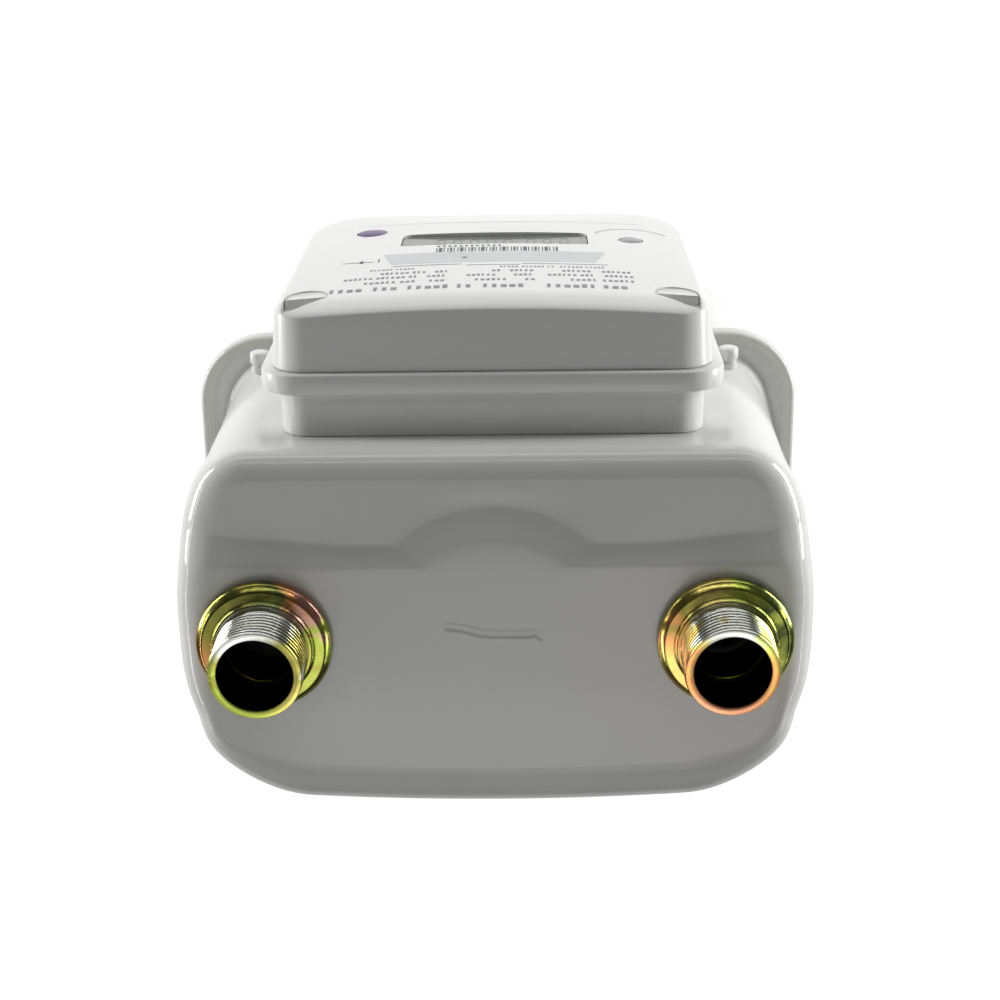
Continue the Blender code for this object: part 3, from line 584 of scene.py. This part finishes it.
def tray_rings(seam_z, end_z, edge):
    """Rings of a drawn tray: flange, fillet at the wall's foot, drafted wall and rounded edge."""
    way = math.copysign(1, end_z - seam_z)
    base = seam_z + way * FLANGE
    foot_r = np.minimum(FOOT_R, 0.75 * (RIM_GAP - DRAFT - 3.0)).clip(0.6)
    rings = []

    def add(spread, z):
        rings.append((BODY + BODY_WAY * np.reshape(spread, (-1, 1)), z))

    for share in (1.0, 0.5):
        add(DRAFT + foot_r + share * (RIM_GAP - FLANGE_GAP - DRAFT - foot_r), base)
    for sine, cosine in bend(6):
        add(DRAFT + foot_r * (1 - sine), base + way * foot_r * (1 - cosine))
    low = base + way * foot_r
    high = end_z - way * edge
    for share in np.linspace(0, 1, 9)[1:]:
        add(DRAFT * (1 - share), low + share * (high - low))
    for sine, cosine in bend(11)[1:]:
        add(-edge * (1 - cosine), end_z - way * edge * (1 - sine))
    return rings


def bulge(y):
    """How far the upper half's side stands out beyond its plan, from front to rear."""
    return sum(out * bell(y, middle, length) for out, middle, length in BULGES)


def make_sheet(name, rings, up):
    """A pressed half of the case: a skin given the sheet's thickness on its inner side."""
    case = loft(name, rings, PAINT, caps=(False, True), facing=(0, 0, up))
    sheet = case.modifiers.new("sheet", "SOLIDIFY")
    sheet.thickness = SHEET * MM
    sheet.offset = -1
    apply_modifiers(case)
    return case


def make_upper():
    """The upper half: a tray whose top carries the band and the disc, with a hole under each connection."""
    rear = smooth_step(0.15, 0.95, BODY_WAY[:, 1])
    front = smooth_step(0.3, 0.95, -BODY_WAY[:, 1])
    rings = tray_rings(SEAM_Z, TOP_Z, TOP_EDGE + REAR_EDGE * rear - FRONT_EDGE * front)
    inner = rings[-1][0]
    centre = np.array((0.0, PORT_Y))
    away = inner - centre
    circle_way = away / np.linalg.norm(away, axis=1)[:, None]
    rim_of_disc = centre + DISC_R * circle_way
    for share in np.linspace(0, 1, 37)[1:]:
        rings.append((inner + share * (rim_of_disc - inner), TOP_Z))
    # The rings are closer together near the middle, where the worked line is.
    for radius in [*np.linspace(DISC_R, 16.0, 21)[1:], *np.linspace(16.0, 0.3, 40)[1:]]:
        rings.append((centre + radius * circle_way, TOP_Z))
    made = []
    for outline, z in rings:
        height = np.broadcast_to(z, len(outline)).astype(float)
        fade = smooth_step(*BULGE_FADE_Z, height) * (1 - smooth_step(TOP_Z - 1.5, TOP_Z, height))
        outline = outline + BODY_WAY * (bulge(outline[:, 1]) * fade)[:, None]
        rise = smooth_step(*RAISED_FADE_Z, height)
        made.append(ring_at(outline, height + rise * relief(outline[:, 0], outline[:, 1])))
    case = make_sheet("case_upper", made, 1)
    holes = [circle(PORT_HOLE_R, 64, (side * PORT_X, PORT_Y)) for side in (-1, 1)]
    subtract(case, [cutter([[(x, y, z) for x, y in hole] for z in (180, 215)]) for hole in holes])
    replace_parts(case, "upper_shell")


def make_lower():
    rings = tray_rings(SEAM_Z, 0.0, np.full(len(BODY), LOWER_EDGE))
    inner = rings[-1][0]
    middle = np.array((0.0, 20.0))
    for share in (0.3, 0.6, 0.85, 0.99):
        rings.append((inner + share * (middle - inner), 0.0))
    case = make_sheet("case_lower", [ring_at(outline, z) for outline, z in rings], -1)
    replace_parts(case, "lower_shell")


def make_rim():
    """The rolled rim that holds the two halves.

    Its section is (inset, height above the seam), and the same again below the seam.
    """
    half = [(1.3, 0.0), (1.3, 2.2), (3.9, 2.2), (4.2, 2.35), (4.15, 2.6), (3.5, 2.75), (2.6, 2.95)]
    half += [(1.9, 3.25), (1.4, 3.4), (0.9, 3.3), (0.45, 2.95), (0.15, 2.4), (0.0, 1.7), (0.0, 0.8)]
    section = half + [(inset, -z) for inset, z in reversed(half[1:])]
    rings = [ring_at(RIM - RIM_WAY * inset, SEAM_Z + z) for inset, z in section]
    # The rim takes the darker copy of the case's paint, a painted shade.
    rim = loft("rim_band", rings, RIM_PAINT_SHADED, wrap=True, angle=50)
    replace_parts(rim, "seam_band")


# The connections

def thread_rings(count):
    """Rings (radius of each point, height) of the thread, which starts and ends shallow."""
    turn_share = np.arange(count) / count
    rings = []
    for z in np.arange(THREAD_LOW, THREAD_HIGH, THREAD_PITCH / 10):
        depth = THREAD_DEPTH * min(1.0, z - THREAD_LOW) * min(1.0, (THREAD_HIGH - z) / THREAD_FADE + 0.35)
        phase = ((z - THREAD_LOW) / THREAD_PITCH - turn_share) % 1.0
        wave = 0.5 - 0.5 * np.cos(2 * math.pi * phase)
        rings.append((THREAD_ROOT_R + depth * wave ** 0.8, z))
    return rings


def make_connection(name, node, side, look):
    """A threaded connection: profiles of (radius, height) with the thread's rings between them."""
    count = 96
    bore = [(10.45, PORT_TOP - 0.5), (10.5, PORT_TOP - 1.5), (10.5, BORE_STEP_Z + 0.9), (9.6, BORE_STEP_Z)]
    bore += [(9.5, BORE_STEP_Z - 0.4), (9.5, 190.0), (13.0, 190.0), (13.0, 200.2), (13.3, 200.3)]
    collar = [(18.6, 200.3), (19.1, 200.5), (19.25, 200.9), (19.25, 202.7), (19.12, 203.15), (18.85, 203.5)]
    collar += [(17.75, 204.65), (17.4, 204.9), (17.0, 205.0), (14.9, 205.0), (14.6, 205.1), (14.4, 205.4)]
    neck = [(14.3, 205.8), (14.0, 206.1), (13.6, 206.2), (12.8, 206.25), (12.4, 206.5)]
    lip = [(13.05, PORT_TOP - 0.6), (13.0, PORT_TOP - 0.3), (12.8, PORT_TOP - 0.06), (12.5, PORT_TOP)]
    lip += [(10.9, PORT_TOP), (10.6, PORT_TOP - 0.12)]
    unit = np.array(circle(1.0, count))
    centre = (side * PORT_X, PORT_Y)
    rings = []
    for radius, z in bore + collar + neck + thread_rings(count) + lip:
        rings.append(ring_at(centre + unit * np.broadcast_to(radius, count)[:, None], z))
    piece = loft(name, rings, look, wrap=True, angle=38)
    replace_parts(piece, node)


# The index housing

def frame_outline(half_x, low, high, radii, inset=0.0, steps=10):
    """A rounded rectangle seen from the front as (x, z), with its own corner radius below and above."""
    corners = []
    for start, side, end in [(0, 1, 1), (90, -1, 1), (180, -1, 0), (270, 1, 0)]:
        radius = radii[end]
        middle = (side * (half_x - radius), (low + radius) if end == 0 else (high - radius))
        drawn = max(radius - inset, 0.05)
        beyond = min(radius - inset, 0.0)
        for a in np.radians(start + 90 * np.arange(steps + 1) / steps):
            x = middle[0] + drawn * math.cos(a) + beyond * side
            z = middle[1] + drawn * math.sin(a) + beyond * (1 if end else -1)
            corners.append((x, z))
    # Extra points along the straight sides keep the shading even.
    outline = []
    for index, (x, z) in enumerate(corners):
        outline.append((x, z))
        if index % (steps + 1) == steps:
            next_x, next_z = corners[(index + 1) % len(corners)]
            for share in np.linspace(0, 1, 25)[1:-1]:
                outline.append((x + share * (next_x - x), z + share * (next_z - z)))
    return outline


def upright(half_x, low, high, radii, y, inset=0.0):
    return [(x, y, z) for x, z in frame_outline(half_x, low, high, radii, inset)]


def make_index_housing():
    """The index's back half: a box on the case with a skirt that the cover closes on."""
    base = [(-43.6, 2.2), (-43.2, 1.8), (-43.2, 0.5), (-43.5, 0.0), (-55.3, 0.0), (-55.8, -0.5)]
    rings = [upright(*BASE, y, inset) for y, inset in base]
    skirt = [(-55.8, 0.9), (-56.1, 0.25), (-56.8, 0.0), (-61.0, 0.0), (-61.6, 0.2), (-61.9, 0.9)]
    rings += [upright(*SKIRT, y, inset) for y, inset in skirt]
    rings += [upright(*COVER, -61.9, 2.2), upright(*COVER, -61.5, 2.8)]
    rings += [upright(*BASE, -57.5, 2.2)]
    housing = loft("index_housing", rings, SHELL_WHITE, wrap=True, angle=35)
    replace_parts(housing, "index_base")


def soft_max(first, second, blend):
    """The larger of two values, with a rounded meeting."""
    mix = max(0.0, min(1.0, 0.5 + 0.5 * (second - first) / blend))
    return first + (second - first) * mix + blend * mix * (1 - mix)


def front_y(x, z):
    """The cover's front surface: a crown, a bevel at the near end and a slope at the far end."""
    crown = FACE_Y + CROWN * (x / CROWN_HALF_X) ** 2
    bevel = crown + (z - BEVEL_Z) * BEVEL_SLOPE
    slope = FACE_Y + (CREASE_Z - z) * FAR_DROP / (CREASE_Z - COVER[1])
    return soft_max(soft_max(crown, bevel, 0.3), slope, 0.12)


def near_end(z):
    """0 on the face and 1 at the cover's near end."""
    return float(smooth_step(*NEAR_END_Z, z))


def cover_ring(inset, side_drop, end_drop):
    """A ring of the cover's front, some way in from the outline and below the front surface."""
    ring = []
    for x, z in frame_outline(*COVER, inset):
        near = near_end(z)
        ring.append((x, front_y(x, z) + side_drop * (1 - near) + end_drop * near, z))
    return ring


def drawn_in(outline, share):
    """An outline drawn in towards the middle of the cover by a share."""
    return [(x * (1 - share), z + (COVER_MIDDLE_Z - z) * share) for x, z in outline]


# The pocket round a cover screw: a half circle below and a free shape that runs out at the bevel above.
POCKET = [(PLUG[0] + POCKET_R * math.cos(a), PLUG[1] + POCKET_R * math.sin(a))
          for a in np.radians(np.linspace(180, 360, 33))]
POCKET += [(58.4, 176.6), (58.2, 177.4), (57.4, 177.8), (55.0, 177.0), (52.0, 175.3), (49.0, 173.2)]
POCKET += [(46.7, 171.4), (46.0, 170.2)]
SIDE_ROUND = 2.6
SIDE_DROP = 3.6
END_DROP = 0.7


def make_index_front():
    """The index cover, a closed shell with its window, button, lens and screw pockets cut in it."""
    start = COVER_BACK - 0.4
    rings = [upright(*COVER, y, inset) for y, inset in [(COVER_BACK, 2.0), (COVER_BACK, -0.7), (start, -1.0)]]
    for share in (0.2, 0.4, 0.6, 0.8, 1.0):
        ring = []
        for x, z in frame_outline(*COVER, share - 1.0):
            near = near_end(z)
            end = front_y(x, z) + SIDE_DROP * (1 - near) + END_DROP * near
            ring.append((x, start + share * (end - start), z))
        rings.append(ring)
    for sine, cosine in bend(8)[1:]:
        rings.append(cover_ring(SIDE_ROUND * (1 - cosine), SIDE_DROP * (1 - sine), END_DROP * (1 - sine)))
    last = frame_outline(*COVER, SIDE_ROUND)
    for share in np.linspace(0, 1, 22)[1:]:
        rings.append([(x, front_y(x, z), z) for x, z in drawn_in(last, 0.995 * share)])
    # The hollow side, back from the middle to the open back edge.
    inner = frame_outline(*COVER, 4.0)
    for share in (1.0, 0.5, 0.0):
        ring = drawn_in(inner, 0.99 * share)
        rings.append([(x, max(front_y(x, z) + COVER_WALL, -80.2), z) for x, z in ring])
    rings += swept(frame_outline(*COVER, 2.0), [-74.0])
    cover = loft("index_front", rings, SHELL_WHITE, wrap=True, angle=32)
    cuts = [frame_outline(*WINDOW), circle(BUTTON_HOLE_R, 64, BUTTON), circle(LENS_HOLE_R, 64, LENS)]
    cutters = [cutter(swept(outline, CUT_SPAN)) for outline in cuts]
    for side in (-1, 1):
        cutters.append(cutter(swept([(side * x, z) for x, z in POCKET], (-90, -76.5))))
    subtract(cover, cutters)
    cover.data.set_sharp_from_angle(angle=math.radians(32))
    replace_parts(cover, "index_cover")


def turned(name, profile, look, at, body="meter", count=64, angle=40):
    """A piece turned about a line along Y through (x, z), from (radius, y) points."""
    rings = [[(x, y, z) for x, z in circle(r, count, at)] for r, y in profile]
    return loft(name, rings, look, body, caps=(True, True), angle=angle)


def make_fittings():
    """The button with its spring, the lens, the screw plugs and the seal posts."""
    dome = [(0.05, -75.0), (1.5, -75.0), (1.5, -76.2), (6.2, -76.2), (6.2, -77.6), (4.6, -77.6), (4.6, -80.3)]
    dome += [(4.52, -80.7), (4.3, -81.05), (3.9, -81.3), (3.2, -81.55), (2.2, -81.75), (1.2, -81.86)]
    dome += [(0.05, -81.9)]
    cap = turned("button_cap", dome, LOOKS["button_plastic"], BUTTON, "button")
    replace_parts(cap, "push_button")
    lens = [(0.05, -76.0), (4.8, -76.0), (4.8, -77.7), (3.65, -77.7), (3.65, -80.5), (3.55, -80.8)]
    lens += [(3.2, -81.0), (2.4, -81.2), (1.2, -81.36), (0.05, -81.4)]
    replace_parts(turned("lens_cap", lens, LOOKS["lens_plastic"], LENS), "infrared_lens")
    make_coil()
    for side, word in [(-1, "left"), (1, "right")]:
        make_plug("plug_" + word, side, "screw_plug_" + word)
        make_post("post_" + word, side, "seal_post_" + word)


def make_coil():
    """The spring behind the button, built at rest; on the meter it shortens as the button goes in."""
    front, back = SPRING_SPAN
    wire = 0.3
    mean = 3.0
    steps = 24
    count = 3 * steps
    rings = []
    for index in range(count + 1):
        turn = 2 * math.pi * index / steps
        middle = front + wire + (back - front - 2 * wire) * index / count
        ring = []
        for out, along in circle(wire, 8):
            x = BUTTON[0] + (mean + out) * math.cos(turn)
            ring.append((x, middle + along, BUTTON[1] + (mean + out) * math.sin(turn)))
        rings.append(ring)
    coil = loft("button_coil", rings, LOOKS["bright_steel"], caps=(True, True), angle=50)
    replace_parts(coil, "button_spring")
    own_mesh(coil)


def make_plug(name, side, node):
    """A plug over a cover screw, cut flat on its near side, and the floor of its pocket."""
    points = []
    faces = []
    rings = []
    for inset, sink in ((0.0, None), (0.0, 0.75), (0.12, 0.45), (0.4, 0.3)):
        ring = []
        for a in np.radians(np.linspace(-192, 12, 49)):
            x = side * (PLUG[0] + (PLUG_R - inset) * math.cos(a))
            z = PLUG[1] + (PLUG_R - inset) * math.sin(a)
            ring.append((x, -76.8 if sink is None else front_y(x, z) + sink, z))
        rings.append(ring)
    add_rings(points, faces, rings)
    add_rings(points, faces, swept([(side * x, z) for x, z in POCKET], (-76.9, -75.6)))
    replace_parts(build(name, points, faces, SHELL_WHITE, angle=40), node)


def make_post(name, side, node):
    """A seal post with a cap, and the tab that joins it to the skirt."""
    centre = (side * POST[0], POST[1])
    profile = [(0.05, -52.6), (2.1, -52.6), (2.3, -52.8), (2.3, -55.6), (2.45, -55.8), (2.75, -55.9)]
    profile += [(2.9, -56.15), (2.9, -58.6), (2.75, -59.0), (2.3, -59.3), (1.3, -59.4), (0.05, -59.4)]
    tab = [(centre[0] + side * 2.7 * math.cos(a), centre[1] + 2.7 * math.sin(a))
           for a in np.radians(np.linspace(-90, 90, 17))]
    tab += [(side * 63.8, centre[1] + 3.6), (side * 63.8, centre[1] - 3.6)]
    points = []
    faces = []
    add_rings(points, faces, [[(x, y, z) for x, z in circle(r, 48, centre)] for r, y in profile])
    add_rings(points, faces, swept(tab, POST_TAB))
    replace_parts(build(name, points, faces, SHELL_WHITE, angle=40), node)


# The printing on the index: bars and blocks that stand for text

INK_LIFT = 0.06
PANEL_LIFT = 0.035
LINE_LIFT = 0.03


def add_patch(points, faces, x0, x1, z0, z1, lift=INK_LIFT):
    """Adds one thin printed patch that follows the cover's front."""
    steps = max(1, int(abs(x1 - x0) / 4))
    start = len(points)
    for step in range(steps + 1):
        x = x0 + (x1 - x0) * step / steps
        for z in (z0, z1):
            y = front_y(x, z)
            points += [(x, y - lift, z), (x, y + 0.25, z)]
    for a in range(start, start + 4 * steps, 4):
        b = a + 4
        faces += [(a, a + 2, b + 2, b), (a + 1, b + 1, b + 3, a + 3)]
        faces += [(a, b, b + 1, a + 1), (a + 2, a + 3, b + 3, b + 2)]
    end = start + 4 * steps
    faces += [(start, start + 1, start + 3, start + 2), (end, end + 2, end + 3, end + 1)]


def printed(name, patches, look):
    """A piece made of printed patches."""
    points = []
    faces = []
    for patch in patches:
        add_patch(points, faces, *patch)
    build(name, points, faces, look, smooth=False)


# Rows of blocks that stand for lines of text: the height of the row's middle, how tall and how wide its
# blocks are, and where each word starts and ends.
ROWS = [
    (142.6, 1.5, 0.8, [(36.0, 22.7), (-2.1, -7.7), (-8.6, -18.6), (-19.8, -33.9)]),
    (147.3, 2.3, 1.0, [(32.6, 18.4), (16.7, 12.6), (0.1, -3.1), (-5.1, -12.7), (-20.3, -28.7),
                       (-31.9, -40.5)]),
    (152.3, 2.3, 1.0, [(42.9, 20.7), (18.8, 12.1), (7.3, -2.3), (-6.3, -12.1), (-16.1, -30.6),
                       (-32.5, -40.8)]),
    (157.8, 2.4, 1.1, [(36.6, 20.4), (17.9, 12.6), (4.8, -4.4), (-9.6, -12.9), (-22.6, -30.7),
                       (-31.8, -40.9)]),
    (165.0, 3.9, 1.7, [(45.8, 35.3), (33.4, 25.8), (23.7, 11.3), (9.7, 3.8), (2.3, -11.7), (-15.7, -40.6)]),
]
LETTER_DEPTHS = (1.0, 0.55, 1.0, 0.6, 0.8)
LETTER_WIDTHS = (0.85, 1.0, 0.6, 1.0, 0.75)
# Patches are (x0, x1, z0, z1): rules under the rows, and a sign of four strokes beside the panel.
RULES = [(29.7, 9.3, 138.6, 139.1), (7.9, -8.0, 139.9, 140.3), (-8.6, -33.9, 138.9, 139.3)]
SIGN = [(7.9, 9.3, 129.8, 131.2), (34.2, 34.6, 128.4, 132.5), (36.0, 45.2, 131.3, 131.7)]
SIGN += [(39.0, 40.0, 129.9, 133.0)]
BAR_WIDTHS = (0.35, 0.7, 0.35, 1.05)
BAR_GAPS = (0.45, 0.8, 0.4)


def text_blocks():
    patches = []
    for row, (z, high, wide, words) in enumerate(ROWS):
        for left, right in words:
            x = left
            index = 0
            while x - wide > right:
                kind = (index * 7 + row * 3) % 5
                low = z - high / 2 * LETTER_DEPTHS[kind]
                patches.append((x - wide * LETTER_WIDTHS[kind], x, low, z + high / 2))
                x -= wide + 0.45 * wide * (2.6 if index % 6 == 5 else 1.0)
                index += 1
    return patches


def bars():
    """A bar code that says nothing, and a row of marks below it."""
    patches = []
    x = 17.6
    index = 0
    while x > -19.4:
        wide = BAR_WIDTHS[(index * 11 + index // 3) % 4]
        patches.append((x - wide, x, 117.2, 122.4))
        x -= wide + BAR_GAPS[(index * 5) % 3]
        index += 1
    return patches + [(16.6 - 1.7 * step, 17.4 - 1.7 * step, 114.3, 115.9) for step in range(12)]


def lens_arc():
    """The printed arc beside the lens, in short overlapping steps."""
    centre = (-42.8, 101.4)
    radius = 12.3
    half_line = 0.25
    steps = 30
    patches = []
    for step in range(steps):
        ends = [math.radians(205 + 130 * (step + past) / steps) for past in (0, 1.05)]
        x0, x1 = [centre[0] + radius * math.cos(a) for a in ends]
        low, high = sorted(centre[1] + radius * math.sin(a) for a in ends)
        patches.append((x0, x1, low - half_line, high + half_line))
    return patches


def panel():
    """The blank label panel, in strips that make its slanted sides, and the thin line at the crease."""
    steps = 14
    low = 123.0
    tall = 13.3
    patches = []
    for index in range(steps):
        z = low + index * tall / steps
        half = 33.4 - 3.3 * index / steps
        patches.append((half, -half - 0.2, z, z + tall / steps, PANEL_LIFT))
    return patches + [(43.8, -46.6, 81.2, 81.45, LINE_LIFT)]


def make_printing():
    """The print on the cover, in four pieces by colour and place."""
    printed("face_print", text_blocks() + RULES, INK)
    printed("bar_code", bars() + SIGN, DARK_INK)
    printed("lens_mark", lens_arc(), PANEL)
    printed("face_panel", panel(), PANEL)


def make_digits():
    """Seven-segment digits on the display: zeros, the state of a new meter."""
    wide = 3.0
    tall = 6.4
    line = 0.55
    base_z = 101.8
    segments = [(line, 0, wide - line, line), (line, tall - line, wide - line, tall)]
    segments += [(0, 0, line, tall), (wide - line, 0, wide, tall)]
    points = []
    faces = []
    for index in range(8):
        left = 18.2 - index * 5.2 - (2.0 if index > 4 else 0.0)
        for x0, z0, x1, z1 in segments:
            corners = [(left - x, base_z + z) for x, z in ((x0, z0), (x1, z0), (x1, z1), (x0, z1))]
            add_rings(points, faces, swept(corners, (-81.16, -81.0)))
    build("display_digits", points, faces, SEGMENT, smooth=False)


def dress_cad():
    """Gives every CAD node that stays the procedural material of its slot."""
    for name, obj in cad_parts.items():
        for entry in obj.material_slots:
            key = entry.material.name.split(".")[0] if entry.material else ""
            if key in LOOKS:
                entry.material = LOOKS[key]
            else:
                print("no look for", name, key)


make_upper()
make_lower()
make_rim()
make_connection("outlet_connection", "outlet_boss", 1, OUTLET_ZINC)
make_connection("inlet_connection", "inlet_boss", -1, INLET_ZINC)
make_index_housing()
make_index_front()
make_fittings()
make_printing()
make_digits()
dress_cad()


# Light, floor and camera

def area_light(name, at, target, size, power):
    light = bpy.data.lights.new(name, "AREA")
    light.shape = "RECTANGLE"
    light.size, light.size_y = size
    light.energy = power
    obj = bpy.data.objects.new(name, light)
    obj.location = at
    obj.rotation_euler = (Vector(target) - Vector(at)).to_track_quat("-Z", "Y").to_euler()
    bpy.context.scene.collection.objects.link(obj)


def make_floor():
    """A white floor. It glows near the meter, most at its front, and looks plain white to the camera."""
    half = 3.0
    drop = 0.0005
    mesh = bpy.data.meshes.new("floor")
    corners = [(x * half, y * half, 0) for x, y in ((-1, -1), (1, -1), (1, 1), (-1, 1))]
    mesh.from_pydata(corners, [], [(0, 1, 2, 3)])
    floor = bpy.data.objects.new("floor", mesh)
    floor.location.z = -drop
    bpy.context.scene.collection.objects.link(floor)
    made, tree, shader = new_material("floor_white")
    shader.inputs["Base Color"].default_value = (0.02, 0.02, 0.02, 1)
    shader.inputs["Roughness"].default_value = 0.9
    shader.inputs["Emission Color"].default_value = (1, 1, 1, 1)
    at = tree.nodes["place"].outputs["Object"]
    ahead = map_range(tree, part_of(tree, at, "Y"), -0.22, 0.12, 1.4, 0.5)
    near = map_range(tree, length_of(tree, at), 0.4, 0.8, 1.0, 0.0)
    path = tree.nodes.new("ShaderNodeLightPath")
    glow = compute(tree, "MULTIPLY", ahead, near)
    seen = compute(tree, "MAXIMUM", glow, path.outputs["Is Camera Ray"])
    join(tree, seen, shader.inputs["Emission Strength"])
    mesh.materials.append(made)


def make_camera():
    """The photo's viewpoint: above the meter, with the meter's front at the top of the picture."""
    tilt, swing, roll = 0.3657, 0.0168, 0.0088
    data = bpy.data.cameras.new("camera")
    data.sensor_width = 36
    data.lens = 65.42928
    data.clip_start = 0.01
    base = Matrix(((-1, 0, 0), (0, -math.cos(tilt), -math.sin(tilt)), (0, math.sin(tilt), -math.cos(tilt))))
    rows = Matrix.Rotation(roll, 3, "Z") @ Matrix.Rotation(swing, 3, "Y") @ base
    camera = bpy.data.objects.new("camera", data)
    turn = Matrix((rows[0], rows[1], -rows[2])).transposed()
    camera.matrix_world = Matrix.Translation(Vector((-10.516, -209.048, 665.368)) * MM) @ turn.to_4x4()
    bpy.context.scene.collection.objects.link(camera)
    bpy.context.scene.camera = camera


def make_world():
    """Dim all round for the light, and white to the camera, so that the background is white in every view."""
    world = bpy.data.worlds.new("studio")
    world.use_nodes = True
    tree = world.node_tree
    back = tree.nodes["Background"]
    back.inputs["Color"].default_value = (1, 1, 1, 1)
    path = tree.nodes.new("ShaderNodeLightPath")
    level = map_range(tree, path.outputs["Is Camera Ray"], 0.0, 1.0, 0.07, 1.0)
    join(tree, level, back.inputs["Strength"])
    bpy.context.scene.world = world


# Each light's place, the point it faces, its size and its power, in metres and watts.
LIGHTS = {
    "key": ((0.0, -1.1, 0.11), (0, 0, 0.11), (1.8, 0.2), 2.6),
    "front_line": ((0.0, -0.95, 0.66), (0, 0, 0.19), (1.3, 0.03), 1.0),
    "left_box": ((0.8, -0.2, 0.11), (0, -0.06, 0.14), (0.6, 0.14), 4.8),
    "right_box": ((-0.8, -0.2, 0.11), (0, -0.06, 0.14), (0.6, 0.14), 6.0),
    "left_strip": ((0.95, 0.3, 0.37), (0, 0, 0.19), (1.0, 0.035), 1.9),
    "right_strip": ((-0.95, 0.3, 0.37), (0, 0, 0.19), (1.0, 0.035), 1.1),
    "top": ((0.1, 0.7, 1.3), (0, 0, 0.15), (1.5, 1.0), 3.0),
    "glow": ((0.0, 0.62, 1.15), (0, 0, 0.19), (0.45, 0.45), 0.7),
}

make_floor()
make_camera()
for light_name, (at, target, size, power) in LIGHTS.items():
    area_light(light_name, at, target, size, power)
make_world()
bpy.context.scene.view_settings.view_transform = "Standard"
